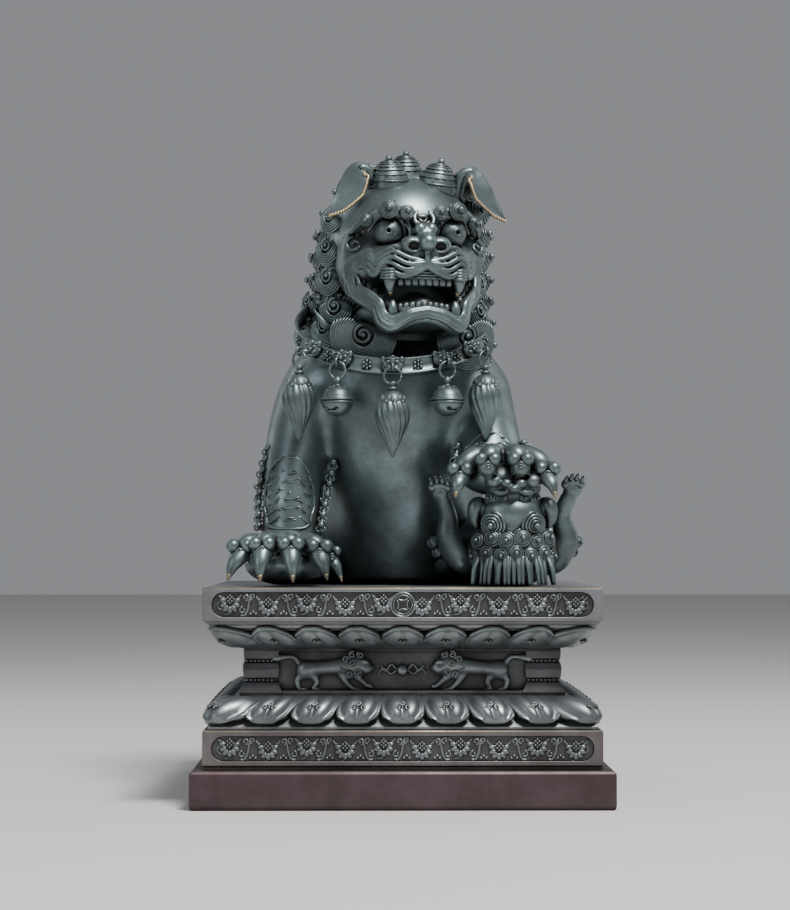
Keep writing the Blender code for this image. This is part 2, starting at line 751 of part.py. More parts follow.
def bell(name, stem_top, cast, dark):
    """Two shells that meet at the equator and the loose pellet, about the eye's centre."""
    middle = stem_top - BELL_NECK - BELL_RADIUS
    inner_radius = BELL_RADIUS - BELL_WALL
    arc = [pi / 2 * i / 4 for i in range(4)]

    def quarter(radius, flip):
        return [(radius * cos(a), middle + flip * (SEAM / 2 + BELL_SQUASH * radius * sin(a))) for a in arc]

    def pole(radius, flip):
        return (0, middle + flip * (SEAM / 2 + BELL_SQUASH * radius))

    neck = ((0.0034, stem_top - 0.0050), (0.0034, stem_top - 0.0036), (0.0016, stem_top - 0.0030),
            (0.0016, stem_top), (0, stem_top))
    upper_profile = [pole(inner_radius, 1), *quarter(inner_radius, 1)[::-1], *quarter(BELL_RADIUS, 1), *neck]
    lower_profile = [
        pole(BELL_RADIUS, -1), *quarter(BELL_RADIUS, -1)[::-1],
        *quarter(inner_radius, -1), pole(inner_radius, -1),
    ]
    upper = turned(f"{name}_upper_shell", upper_profile, cast, 14)
    lower = turned(f"{name}_lower_shell", lower_profile, cast, 14)
    cut(lower, block("slot", (0, 0, middle - BELL_RADIUS), BELL_SLOT))
    rest = middle - BELL_SQUASH * inner_radius + PELLET_RADIUS + 0.0007
    pellet = ball(f"{name}_pellet", (0, 0, rest), (PELLET_RADIUS,) * 3, dark, 8, 6)
    return upper, lower, pellet


# ---------------------------------------------------------------- assembly
def main():
    for obj in list(bpy.data.objects):
        bpy.data.objects.remove(obj)
    cast = bronze("patinated_bronze", (0.115, 0.135, 0.140), 0.42)
    dark = bronze("dark_recess_bronze", (0.060, 0.052, 0.054), 0.55)
    steel = bronze("zinc_plated_steel", (0.42, 0.42, 0.43), 0.38, 1.0)
    felt = bronze("felt", (0.020, 0.045, 0.030), 0.95, 0.0)

    slab = pedestal(cast, dark, steel, felt)
    torso, torso_solid, limbs, haunches, tail = lion_body(cast)
    cub(cast, (*limbs, *haunches, torso_solid))
    skull, jaw, tongue, ears = lion_head(cast, dark, torso_solid)

    mane = stacked("mane", MANE, cast, 24)
    band = collar_band(cast, (torso_solid,))
    clear_of(band, *limbs, skull, jaw)
    for other in (torso_solid, skull, jaw, tongue, *limbs, tail):
        clear_of(mane, other)
    clear_of(mane, *ears, gap=3 * SEAM)
    clear_of(mane, band, gap=3 * SEAM)
    for name, kind, angle, stand_off in PENDANTS:
        collar_mask(f"{name}_mask", angle, stand_off, cast, band)
        pendant(name, kind, angle, stand_off, cast, dark)
    for end, y in STUDS.items():
        fixing_stud(end, y, slab, torso, steel)
    bpy.data.objects.remove(torso_solid)


main()
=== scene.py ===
"""Looks of the bronze guardian lion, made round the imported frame.

The frame is in metres, +Z up, and the lion faces -Y. Shapes are worked out in millimetres in the
same frame and scaled when an object is made; the head's are in its own frame, which is turned.
"Left" and "right" are the lion's own: its left side is at +X.

Big forms are distance fields that are blended like clay and then meshed. Curls, locks, petals and
scrolls are meshes worked out by formula, which are seated on those forms.
"""

import json
from math import atan2, cos, pi, radians, sin, sqrt

import bpy
import numpy as np
import openvdb
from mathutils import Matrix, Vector


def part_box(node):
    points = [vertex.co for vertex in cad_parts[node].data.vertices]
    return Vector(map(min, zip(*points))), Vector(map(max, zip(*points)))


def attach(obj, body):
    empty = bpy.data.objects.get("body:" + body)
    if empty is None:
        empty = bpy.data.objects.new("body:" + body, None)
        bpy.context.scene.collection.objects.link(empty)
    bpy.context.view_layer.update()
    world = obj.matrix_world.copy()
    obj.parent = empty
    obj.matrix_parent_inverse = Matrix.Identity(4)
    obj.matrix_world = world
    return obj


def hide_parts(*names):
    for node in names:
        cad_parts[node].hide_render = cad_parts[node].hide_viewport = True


MM = 0.001
FAR = 20.0  # millimetres: field value where nothing is near
POLE = 0.12  # radians: half the width of the flat at a ball's pole
TINY = 1e-9  # keeps a division off zero
CORNERS = ((-1, -1), (1, -1), (1, 1), (-1, 1))  # the signs of x and y, round a rectangle

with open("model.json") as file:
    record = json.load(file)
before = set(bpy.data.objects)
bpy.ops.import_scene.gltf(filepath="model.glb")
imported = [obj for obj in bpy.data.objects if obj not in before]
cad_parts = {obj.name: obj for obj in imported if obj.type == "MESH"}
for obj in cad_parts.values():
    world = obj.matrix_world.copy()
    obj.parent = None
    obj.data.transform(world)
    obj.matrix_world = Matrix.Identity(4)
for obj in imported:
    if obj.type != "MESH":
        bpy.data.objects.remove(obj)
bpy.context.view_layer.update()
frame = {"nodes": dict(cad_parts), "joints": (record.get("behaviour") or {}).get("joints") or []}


def box_mm(node):
    """Lowest and highest corner of a CAD node in millimetres."""
    low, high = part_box(node)
    return np.array(low) / MM, np.array(high) / MM


def hinge_mm(name):
    """Centre of a joint in millimetres."""
    joint = next(j for j in frame["joints"] if j["name"] == name)
    return np.array(joint["pos_m"]) / MM


# ---------------------------------------------------------------- curves
def spline(points, steps=6):
    """A smooth curve through the points: rows may hold any number of values."""
    rows = np.array(points, float)
    padded = np.vstack([2 * rows[0] - rows[1], rows, 2 * rows[-1] - rows[-2]])
    made = []
    for i in range(1, len(padded) - 2):
        a, b, c, d = padded[i - 1 : i + 3]
        for t in np.arange(steps) / steps:
            linear, square, cube = c - a, 2 * a - 5 * b + 4 * c - d, 3 * b - a - 3 * c + d
            made.append(0.5 * (2 * b + linear * t + square * t**2 + cube * t**3))
    return np.array([*made, rows[-1]])


def ring_angles(count, start=0.0):
    """Angles of evenly spaced points round a circle."""
    return start + 2 * pi * np.arange(count) / count


def level(flat, height):
    """(x, y) rows raised to one height."""
    return np.column_stack([flat, np.full(len(flat), height)])


def upright(flat, x, y, z):
    """(x, z) rows about a point, in a plane that faces the front."""
    return np.column_stack([x + flat[:, 0], np.full(len(flat), y), z + flat[:, 1]])


def tapered(count, places, sizes):
    """Sizes along a curve of count points, read off at places from 0 to 1."""
    return np.interp(np.linspace(0, 1, count), places, sizes)


def unit(vector):
    """The vector at length 1."""
    return np.array(vector, float) / max(np.linalg.norm(vector), TINY)


def basis(outward, up=(0, 0, 1)):
    """Rotation whose columns are (sideways, upward along the surface, outward)."""
    out = unit(outward)
    side = unit(np.cross(up, out))
    return np.column_stack([side, np.cross(out, side), out])


# ---------------------------------------------------------------- gathering meshes
class Heap:
    """Pieces of mesh in millimetres that become one object."""

    def __init__(self):
        self.points, self.faces, self.count = [], [], 0

    def add(self, points, faces, turn=None, move=(0, 0, 0)):
        """Adds points and the faces between them, turned and then moved."""
        points = np.asarray(points, float)
        faces = np.asarray(faces)
        if turn is not None:
            points = points @ np.asarray(turn).T
            if np.linalg.det(turn) < 0:
                faces = faces[:, ::-1]
        self.points.append(points + move)
        self.faces.append(faces + self.count)
        self.count += len(points)

    def add_rings(self, points, columns, turn=None, move=(0, 0, 0)):
        """Adds a closed body from rings of points, with one flat polygon at each end."""
        rows = len(points) // columns
        end = np.arange(columns)[None, :] + self.count
        self.add(points, grid_faces(rows, columns, wrap_columns=True)[:, ::-1], turn, move)
        self.faces += [end, end[:, ::-1] + (rows - 1) * columns]

    def add_heap(self, other, turn=None, move=(0, 0, 0)):
        """Adds all of another heap, turned and then moved."""
        points = np.vstack(other.points)
        flip = turn is not None and np.linalg.det(turn) < 0
        if turn is not None:
            points = points @ np.asarray(turn).T
        self.points.append(points + move)
        self.faces += [(faces[:, ::-1] if flip else faces) + self.count for faces in other.faces]
        self.count += len(points)

    def build(self, name, material, body="statue", replaces=(), slot="patinated_bronze", turn=None,
              move=(0, 0, 0)):
        """Makes the object, smooth-shaded, on one body and with one material."""
        points = np.vstack(self.points)
        if turn is not None:
            points = points @ np.asarray(turn).T
        points = (points + move) * MM
        mesh = bpy.data.meshes.new(name)
        mesh.vertices.add(len(points))
        mesh.vertices.foreach_set("co", points.astype(np.float32).ravel())
        corners = np.concatenate([f.ravel() for f in self.faces]).astype(np.int32)
        sizes = np.concatenate([np.full(len(f), f.shape[1]) for f in self.faces])
        starts = np.concatenate([[0], np.cumsum(sizes)[:-1]]).astype(np.int32)
        mesh.loops.add(len(corners))
        mesh.loops.foreach_set("vertex_index", corners)
        mesh.polygons.add(len(sizes))
        mesh.polygons.foreach_set("loop_start", starts)
        mesh.update(calc_edges=True)
        mesh.shade_smooth()
        made = bpy.data.objects.new(name, mesh)
        bpy.context.scene.collection.objects.link(made)
        mesh.materials.append(material)
        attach(made, body)
        if replaces:
            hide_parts(*replaces)
        return made


def bake(made):
    """Turns an object's modifiers into its mesh."""
    bpy.context.view_layer.update()
    mesh = bpy.data.meshes.new_from_object(made.evaluated_get(bpy.context.evaluated_depsgraph_get()))
    made.modifiers.clear()
    made.data = mesh


def soften(made, width, segments=3):
    """Rounds the sharp edges."""
    bevel = made.modifiers.new("soft_edges", "BEVEL")
    bevel.width = width * MM
    bevel.segments = segments
    bevel.limit_method = "ANGLE"
    bevel.angle_limit = radians(25)
    bevel.harden_normals = True


def carve(made, heap):
    """Cuts a heap's closed shapes out of an object."""
    cutter = heap.build("cutter", made.data.materials[0])
    cut = made.modifiers.new("cut", "BOOLEAN")
    cut.object = cutter
    bake(made)
    bpy.data.objects.remove(cutter)


def grid_faces(rows, columns, wrap_columns=False, wrap_rows=False):
    """Quads of a rows x columns grid of points, which may close on itself."""
    index = np.arange(rows * columns).reshape(rows, columns)
    if wrap_columns:
        index = np.hstack([index, index[:, :1]])
    if wrap_rows:
        index = np.vstack([index, index[:1]])
    a, b, c, d = index[:-1, :-1], index[:-1, 1:], index[1:, 1:], index[1:, :-1]
    return np.stack([a, b, c, d], axis=-1).reshape(-1, 4)


def ball_into(heap, centre, radii, turn=None, segments=10, rings=6):
    """Adds an ellipsoid from rings between its two poles, which are flat polygons."""
    polar = np.linspace(POLE, pi - POLE, rings)
    around = ring_angles(segments)
    ring = np.sin(polar)[:, None]
    high = np.cos(polar)[:, None] * np.ones(segments)
    points = np.stack([ring * np.cos(around), ring * np.sin(around), high], axis=-1)
    heap.add_rings(points.reshape(-1, 3) * (np.ones(3) * radii), segments, turn, centre)


def tube_into(heap, points, radii, sides=8, flat=1.0, up=None):
    """Adds a tube along points. radii is one value or one for each point; flat squashes it along up."""
    points = np.array(points, float)
    radii = np.ones(len(points)) * radii
    along = np.gradient(points, axis=0)
    along /= np.maximum(np.linalg.norm(along, axis=1), TINY)[:, None]
    if up is None:
        lead = np.array((0, 0, 1.0)) if abs(along[0][2]) < 0.9 else np.array((1.0, 0, 0))
        ups = np.zeros_like(points)
        for i, direction in enumerate(along):
            lead = unit(lead - direction * np.dot(lead, direction))
            ups[i] = lead
    else:
        ups = np.ones_like(points) * up
        ups -= along * (ups * along).sum(1)[:, None]
        ups /= np.maximum(np.linalg.norm(ups, axis=1), TINY)[:, None]
    wide = np.cross(along, ups)
    around = ring_angles(sides)[None, :, None]
    ring = wide[:, None] * np.cos(around) + flat * ups[:, None] * np.sin(around)
    made = points[:, None] + ring * radii[:, None, None]
    heap.add_rings(made.reshape(-1, 3), sides)


def spiral(radius, turns, start, hand, steps=22, inner=0.12):
    """Points of a flat spiral from its outer end to its middle, as (x, y) rows."""
    t = np.linspace(0, 1, steps)
    reach = radius * (1 - (1 - inner) * t)
    angle = start + hand * 2 * pi * turns * t
    return np.column_stack([reach * np.cos(angle), reach * np.sin(angle)])


def turned_into(heap, profile, segments=28, centre=(0, 0, 0), wave=None):
    """Adds a body turned about Z from (radius, z) rows, top to bottom. wave(z, angle) scales it."""
    profile = np.array(profile, float)
    angle = ring_angles(segments)
    radius = profile[:, :1] * np.ones(segments)
    if wave is not None:
        radius = radius * wave(profile[:, 1:], angle[None, :])
    high = profile[:, 1:] * np.ones(segments)
    points = np.stack([radius * np.cos(angle), radius * np.sin(angle), high], axis=-1)
    heap.add_rings(points.reshape(-1, 3), segments, move=centre)


# ---------------------------------------------------------------- clay
def soft_min(a, b, blend):
    """The lower of two fields, rounded where they cross."""
    if blend <= 0:
        return np.minimum(a, b)
    mix = np.clip(0.5 + 0.5 * (b - a) / blend, 0, 1)
    return b + (a - b) * mix - blend * mix * (1 - mix)


class Clay:
    """A signed distance field on a grid, in millimetres, negative inside."""

    def __init__(self, low, high, voxel):
        self.low, self.voxel = np.array(low, float), voxel
        counts = np.ceil((np.array(high) - self.low) / voxel).astype(int) + 1
        self.field = np.full(counts, FAR, np.float32)

    def window(self, low, high):
        """Index and coordinates of the voxels between two corners."""
        start = np.clip(((low - self.low) / self.voxel).astype(int), 0, self.field.shape)
        stop = np.clip(np.ceil((high - self.low) / self.voxel).astype(int) + 1, 0, self.field.shape)
        index = tuple(slice(a, b) for a, b in zip(start, stop))
        axes = []
        for i, (a, b) in enumerate(zip(start, stop)):
            shape = [1, 1, 1]
            shape[i] = b - a
            axes.append((self.low[i] + self.voxel * np.arange(a, b)).astype(np.float32).reshape(shape))
        return index, axes

    def put(self, index, distance, blend, carve):
        """Joins a distance to part of the field, or carves it out."""
        if carve:
            self.field[index] = -soft_min(-self.field[index], distance, blend)
        else:
            self.field[index] = soft_min(self.field[index], distance, blend)

    def ball(self, centre, radii, blend=0.0, turn=None, carve=False):
        """Blends in an ellipsoid. turn's columns are its own axes."""
        centre, radii = np.array(centre, float), np.ones(3) * radii
        reach = (radii.max() if turn is not None else radii) + blend + 2 * self.voxel
        index, axes = self.window(centre - reach, centre + reach)
        offset = [axis - c for axis, c in zip(axes, centre)]
        if turn is not None:
            turn = np.asarray(turn)
            offset = [sum(offset[i] * turn[i, k] for i in range(3)) for k in range(3)]
        near = np.sqrt(sum((o / r) ** 2 for o, r in zip(offset, radii)))
        slope = np.sqrt(sum((o / r**2) ** 2 for o, r in zip(offset, radii)))
        self.put(index, (near * (near - 1) / np.maximum(slope, 1e-6)).astype(np.float32), blend, carve)

    def rope(self, rows, blend=0.0, carve=False, steps=5):
        """Blends in a tube through rows of (x, y, z, radius), smoothed into a curve."""
        rows = spline(rows, steps)
        points, radii = rows[:, :3], np.maximum(rows[:, 3], 0.05)
        reach = blend + 2 * self.voxel
        low, high = points - (radii + reach)[:, None], points + (radii + reach)[:, None]
        index, _ = self.window(low.min(0), high.max(0))
        origin = np.array([part.start for part in index])
        near = np.full([part.stop - part.start for part in index], FAR, np.float32)
        for i in range(len(points) - 1):
            part, axes = self.window(np.minimum(low[i], low[i + 1]), np.maximum(high[i], high[i + 1]))
            local = tuple(slice(p.start - o, p.stop - o) for p, o in zip(part, origin))
            if near[local].size == 0:
                continue
            step = points[i + 1] - points[i]
            offset = [axis - c for axis, c in zip(axes, points[i])]
            share = sum(o * s for o, s in zip(offset, step)) / max((step**2).sum(), TINY)
            share = np.clip(share, 0, 1)
            gap = np.sqrt(sum((o - share * s) ** 2 for o, s in zip(offset, step)))
            near[local] = np.minimum(near[local], gap - radii[i] - share * (radii[i + 1] - radii[i]))
        self.put(index, near, blend, carve)

    def loft(self, sections, blend=0.0, cap=0.0):
        """Blends in a body lofted through rows of (z, centre x, centre y, half width, half depth)."""
        rows = spline(sections, 8)
        z_all = rows[:, 0]
        reach = blend + 2 * self.voxel
        low = np.array([(rows[:, 1] - rows[:, 3]).min(), (rows[:, 2] - rows[:, 4]).min(),
                        z_all.min()]) - reach
        high = np.array([(rows[:, 1] + rows[:, 3]).max(), (rows[:, 2] + rows[:, 4]).max(),
                         z_all.max()]) + reach
        index, (x, y, z) = self.window(low, high)
        cx, cy, rx, ry = (np.interp(z, z_all, rows[:, i]).astype(np.float32) for i in range(1, 5))
        near = np.sqrt(((x - cx) / rx) ** 2 + ((y - cy) / ry) ** 2)
        slope = np.sqrt(((x - cx) / rx**2) ** 2 + ((y - cy) / ry**2) ** 2)
        side = near * (near - 1) / np.maximum(slope, 1e-6)
        ends = np.maximum(z_all.min() - z, z - z_all.max()) * np.ones_like(side)
        self.put(index, -soft_min(-side, -ends, cap).astype(np.float32), blend, False)

    def cut_below(self, z):
        """Trims the clay flat under a level."""
        axis = self.low[2] + self.voxel * np.arange(self.field.shape[2])
        self.field = np.maximum(self.field, (z - axis).astype(np.float32))

    def sample(self, points):
        """The field at the voxels nearest to points."""
        cell = np.rint((np.atleast_2d(points) - self.low) / self.voxel).astype(int)
        inside = ((cell >= 0) & (cell < self.field.shape)).all(1)
        cell = np.clip(cell, 0, np.array(self.field.shape) - 1)
        return np.where(inside, self.field[tuple(cell.T)], FAR)

    def hit(self, origin, direction, reach=120.0):
        """First point of the surface from origin along direction, or None."""
        steps = np.arange(0, reach, self.voxel / 2)
        points = np.array(origin, float) + steps[:, None] * unit(direction)
        inside = self.sample(points) < 0
        return points[inside.argmax()] if inside.any() else None

    def normal(self, point, span=2.0):
        """The way out of the surface near a point."""
        offsets = np.eye(3) * span
        return unit([self.sample(point + o)[0] - self.sample(point - o)[0] for o in offsets])

    def heap(self):
        """A heap that holds the clay's surface."""
        grid = openvdb.FloatGrid(FAR)
        grid.copyFromArray(self.field)
        points, quads = grid.convertToQuads(0.0)
        made = Heap()
        made.add(points * self.voxel + self.low, quads.astype(int))
        return made


# ---------------------------------------------------------------- materials
def shader_nodes(name):
    """A new material, its node tree and its shader."""
    made = bpy.data.materials.new(name)
    made.use_nodes = True
    tree = made.node_tree
    return made, tree, tree.nodes["Principled BSDF"]


def noise(tree, scale, detail, roughness, coordinate):
    """A noise texture's value."""
    node = tree.nodes.new("ShaderNodeTexNoise")
    node.inputs["Scale"].default_value = scale
    node.inputs["Detail"].default_value = detail
    node.inputs["Roughness"].default_value = roughness
    tree.links.new(coordinate, node.inputs["Vector"])
    return node.outputs["Fac"]


def remap(tree, value, low, high, to_low=0.0, to_high=1.0):
    """Takes a value smoothly from one range to another."""
    node = tree.nodes.new("ShaderNodeMapRange")
    node.interpolation_type = "SMOOTHSTEP"
    for socket, number in (("From Min", low), ("From Max", high), ("To Min", to_low),
                           ("To Max", to_high)):
        node.inputs[socket].default_value = number
    tree.links.new(value, node.inputs["Value"])
    return node.outputs["Result"]


def mix_colour(tree, share, first, second):
    """Mixes two colours, each given as three numbers or as a socket."""
    node = tree.nodes.new("ShaderNodeMix")
    node.data_type = "RGBA"
    tree.links.new(share, node.inputs["Factor"])
    for value, socket in ((first, node.inputs[6]), (second, node.inputs[7])):
        if isinstance(value, tuple):
            socket.default_value = (*value, 1)
        else:
            tree.links.new(value, socket)
    return node.outputs[2]


def combine_values(tree, operation, first, second):
    """A clamped sum or product of two values, each given as a number or a socket."""
    node = tree.nodes.new("ShaderNodeMath")
    node.operation = operation
    node.use_clamp = True
    for value, socket in ((first, node.inputs[0]), (second, node.inputs[1])):
        if isinstance(value, float):
            socket.default_value = value
        else:
            tree.links.new(value, socket)
    return node.outputs[0]


PATINA = (0.205, 0.268, 0.276)
PATINA_DARK = (0.092, 0.114, 0.117)
# Near-black brown painted into the hollows as shade, on top of the patina's own darker hollows.
RECESS_SHADE = (0.020, 0.012, 0.010)
RUBBED = (0.640, 0.470, 0.240)


def bronze(name, light=PATINA, dark=PATINA_DARK, recess_shade=RECESS_SHADE, wear=0.5, depth=5.0, gloss=0.36):
    """Patinated cast bronze: mottled patina, hollows darkened by painted shade over the patina, brass
    rubbed bare on sharp edges.
    """
    made, tree, shader = shader_nodes(name)
    place = tree.nodes.new("ShaderNodeTexCoord").outputs["Object"]
    cloud = noise(tree, 28.0, 5.0, 0.62, place)
    grain = noise(tree, 420.0, 3.0, 0.7, place)
    speck = noise(tree, 1600.0, 2.0, 0.6, place)

    # Painted shade: an occlusion test darkens the colour towards the recess colour in hollows and
    # between parts; the same mask also makes those places rougher.
    shadow = tree.nodes.new("ShaderNodeAmbientOcclusion")
    shadow.samples = 6
    shadow.inputs["Distance"].default_value = depth * MM
    out_of_shade = remap(tree, shadow.outputs["AO"], 0.42, 0.90)

    mottled = mix_colour(tree, remap(tree, cloud, 0.32, 0.70), dark, light)
    fine = mix_colour(tree, remap(tree, grain, 0.30, 0.75, 0.0, 0.35), mottled, dark)
    with_painted_shade = mix_colour(tree, out_of_shade, recess_shade, fine)

    edge = remap(tree, tree.nodes.new("ShaderNodeNewGeometry").outputs["Pointiness"], 0.56, 0.66)
    patchy = remap(tree, cloud, 0.42, 0.62)
    bare = combine_values(tree, "MULTIPLY", combine_values(tree, "MULTIPLY", edge, patchy), wear)
    tree.links.new(mix_colour(tree, bare, with_painted_shade, RUBBED), shader.inputs["Base Color"])

    rough = remap(tree, cloud, 0.30, 0.72, gloss + 0.10, gloss - 0.04)
    dull = tree.nodes.new("ShaderNodeMix")
    tree.links.new(out_of_shade, dull.inputs["Factor"])
    dull.inputs[2].default_value = 0.70
    tree.links.new(rough, dull.inputs[3])
    tree.links.new(dull.outputs[0], shader.inputs["Roughness"])
    shader.inputs["Metallic"].default_value = 0.82
    shader.inputs["Coat Weight"].default_value = 0.12
    shader.inputs["Coat Roughness"].default_value = 0.28

    bump = tree.nodes.new("ShaderNodeBump")
    bump.inputs["Strength"].default_value = 0.22
    bump.inputs["Distance"].default_value = 0.12 * MM
    tree.links.new(combine_values(tree, "ADD", combine_values(tree, "MULTIPLY", grain, 0.8),
                                  combine_values(tree, "MULTIPLY", speck, 0.25)), bump.inputs["Height"])
    tree.links.new(bump.outputs["Normal"], shader.inputs["Normal"])
    return made


def plain_metal(name, colour, roughness, scale=300.0, metallic=1.0):
    """Sheet, fastener or cloth with a little mottling and a fine bump."""
    made, tree, shader = shader_nodes(name)
    place = tree.nodes.new("ShaderNodeTexCoord").outputs["Object"]
    cloud = noise(tree, scale, 4.0, 0.6, place)
    deep = tuple(0.6 * c for c in colour)
    tree.links.new(mix_colour(tree, remap(tree, cloud, 0.35, 0.7), deep, colour),
                   shader.inputs["Base Color"])
    tree.links.new(remap(tree, cloud, 0.3, 0.7, roughness + 0.08, roughness - 0.05),
                   shader.inputs["Roughness"])
    shader.inputs["Metallic"].default_value = metallic
    bump = tree.nodes.new("ShaderNodeBump")
    bump.inputs["Strength"].default_value = 0.3
    bump.inputs["Distance"].default_value = 0.1 * MM
    tree.links.new(cloud, bump.inputs["Height"])
    tree.links.new(bump.outputs["Normal"], shader.inputs["Normal"])
    return made


BRONZE = bronze("patinated_bronze_skin", wear=0.15)
BRONZE_FINE = bronze("patinated_bronze_chased", depth=2.6, wear=0.10)
BRONZE_BROWN = bronze("brown_bronze", (0.115, 0.080, 0.087), (0.070, 0.047, 0.051), wear=0.12,
                      gloss=0.46)
SLAB_BRONZE = bronze("slab_bronze", (0.270, 0.275, 0.292), (0.170, 0.170, 0.180), wear=0.10, gloss=0.46)
BLOCK_BRONZE = bronze("block_bronze", (0.200, 0.176, 0.178), (0.120, 0.100, 0.101), wear=0.10,
                      gloss=0.46)
BRONZE_DARK = bronze("dark_bronze", (0.110, 0.116, 0.124), (0.052, 0.050, 0.054), wear=0.05, gloss=0.44)
RELIEF = bronze("relief_bronze", (0.235, 0.262, 0.272), (0.125, 0.136, 0.142), (0.040, 0.030, 0.029),
                wear=0.06, depth=1.4)
FRIEZE_GROUND = bronze("frieze_ground", (0.100, 0.100, 0.106), (0.066, 0.060, 0.062),
                       (0.060, 0.052, 0.052), wear=0.0, depth=0.6, gloss=0.46)
BARE_EDGE = bronze("rubbed_edge", (0.560, 0.430, 0.240), (0.200, 0.175, 0.140), (0.05, 0.035, 0.02),
                   wear=0.8, depth=1.5)
STEEL = plain_metal("zinc_plate", (0.42, 0.42, 0.43), 0.38)
FELT = plain_metal("green_felt", (0.020, 0.045, 0.030), 0.95, 900.0, 0.0)


# ---------------------------------------------------------------- stage
FLOOR_HALF = 6.0  # metres
FLOOR_COLOUR = (0.60, 0.59, 0.58, 1)
WALL_COLOUR = (0.62, 0.64, 0.67, 1)
MIDDLE = (0, 0, 0.24)  # where the lamps point
COOL = (0.93, 0.97, 1.0)
# Each lamp: name, place in metres, width and height, watts, colour.
LAMPS = (
    ("key", (0.60, -1.00, 2.05), (0.55, 0.55), 78.0, (1.0, 0.99, 0.97)),
    ("fill", (-1.30, -1.10, 0.75), (0.7, 1.1), 5.0, (0.92, 0.96, 1.0)),
    ("rim_left", (-0.95, 0.75, 0.75), (0.4, 1.1), 2.5, COOL),
    ("rim_right", (1.05, 0.60, 0.70), (0.4, 1.1), 2.5, COOL),
)
CAMERA_LENS = 98.9  # millimetres, on a sensor 36 mm wide
CAMERA_PLACE = (-0.020, -1.665, 0.1637)
CAMERA_TILT, CAMERA_PAN = 91.97, -0.57  # degrees


def lamp(name, place, size, power, colour):
    """An area lamp that points at the middle of the statue."""
    light = bpy.data.lights.new(name, "AREA")
    light.shape = "RECTANGLE"
    light.size, light.size_y = size
    light.energy = power
    light.color = colour
    made = bpy.data.objects.new(name, light)
    made.location = place
    made.rotation_euler = (Vector(MIDDLE) - Vector(place)).to_track_quat("-Z", "Y").to_euler()
    bpy.context.scene.collection.objects.link(made)


def stage():
    """A pale floor, a grey surround, the lamps and the camera."""
    mesh = bpy.data.meshes.new("floor")
    corners = [(x * FLOOR_HALF, y * FLOOR_HALF, 0) for x, y in CORNERS]
    mesh.from_pydata(corners, [], [(0, 1, 2, 3)])
    floor = bpy.data.objects.new("floor", mesh)
    bpy.context.scene.collection.objects.link(floor)
    made, _, shader = shader_nodes("pale_floor")
    shader.inputs["Base Color"].default_value = FLOOR_COLOUR
    shader.inputs["Roughness"].default_value = 0.85
    mesh.materials.append(made)

    world = bpy.data.worlds.new("studio")
    world.use_nodes = True
    surround = world.node_tree.nodes["Background"]
    surround.inputs["Color"].default_value = WALL_COLOUR
    surround.inputs["Strength"].default_value = 0.42
    bpy.context.scene.world = world

    for row in LAMPS:
        lamp(*row)

    camera = bpy.data.cameras.new("camera")
    camera.lens = CAMERA_LENS
    camera.sensor_width = 36.0
    camera.clip_start = 0.05
    made = bpy.data.objects.new("camera", camera)
    made.location = CAMERA_PLACE
    made.rotation_euler = (radians(CAMERA_TILT), 0, radians(CAMERA_PAN))
    bpy.context.scene.collection.objects.link(made)
    bpy.context.scene.camera = made


stage()
for name, node in frame["nodes"].items():
    low_node = name.startswith(("cover_screw", "mounting", "bottom_cover"))
    skin = STEEL if low_node else FELT if name == "base_felt" else BRONZE
    node.data.materials.clear()
    node.data.materials.append(skin)


# ---------------------------------------------------------------- pedestal
WALL = 6.0
SIDES = ("front", "left", "back", "right")
PLINTH = box_mm("base_plinth")[1][:2]  # half width and half depth of each course
BLOCK = box_mm("top_slab")[1][:2]
WAIST = np.array((97.5, 110.0))
SLAB_TOP = box_mm("top_slab")[1][2]
FRIEZE_DEEP = 2.4  # how far the carved strips lie back in a course's face


def to_side(side):
    """Rotation that takes work done on the front face (-Y outward) to another face."""
    angle = side * pi / 2
    return np.array([[cos(angle), -sin(angle), 0], [sin(angle), cos(angle), 0], [0, 0, 1]])


def moulding(name, half, profile, material, replaces, wall=WALL, roof=0.0):
    """A hollow course: rows of (outset, z) from the bottom up, taken round a rectangle."""
    low, high = profile[0][1], profile[-1][1] - roof
    inset = min(out for out, _ in profile) - wall
    loops = [(inset, high), (inset, low), *profile] if roof else [*profile, (inset, high), (inset, low)]
    points = [(sx * (half[0] + out), sy * (half[1] + out), z)
              for out, z in loops for sx, sy in CORNERS]
    heap = Heap()
    heap.add(points, grid_faces(len(loops), 4, wrap_columns=True, wrap_rows=not roof))
    if roof:
        heap.faces.append(np.array([[3, 2, 1, 0]]))
        heap.faces.append(np.array([[0, 1, 2, 3]]) + 4 * (len(loops) - 1))
    made = heap.build(name, material, replaces=replaces)
    made.data.shade_flat()
    return made


def round_bar(heap, half_length, half_height, z, near, far, turn=None):
    """A bar with round ends, lying along one face between two distances from the middle."""
    angle = np.linspace(-pi / 2, pi / 2, 13)
    reach = half_length - half_height + half_height * np.cos(angle)
    right = np.column_stack([reach, half_height * np.sin(angle)])
    outline = np.vstack([right, -right])
    heap.add_rings(np.vstack([upright(outline, 0, -y, z) for y in (far, near)]), len(outline), turn)


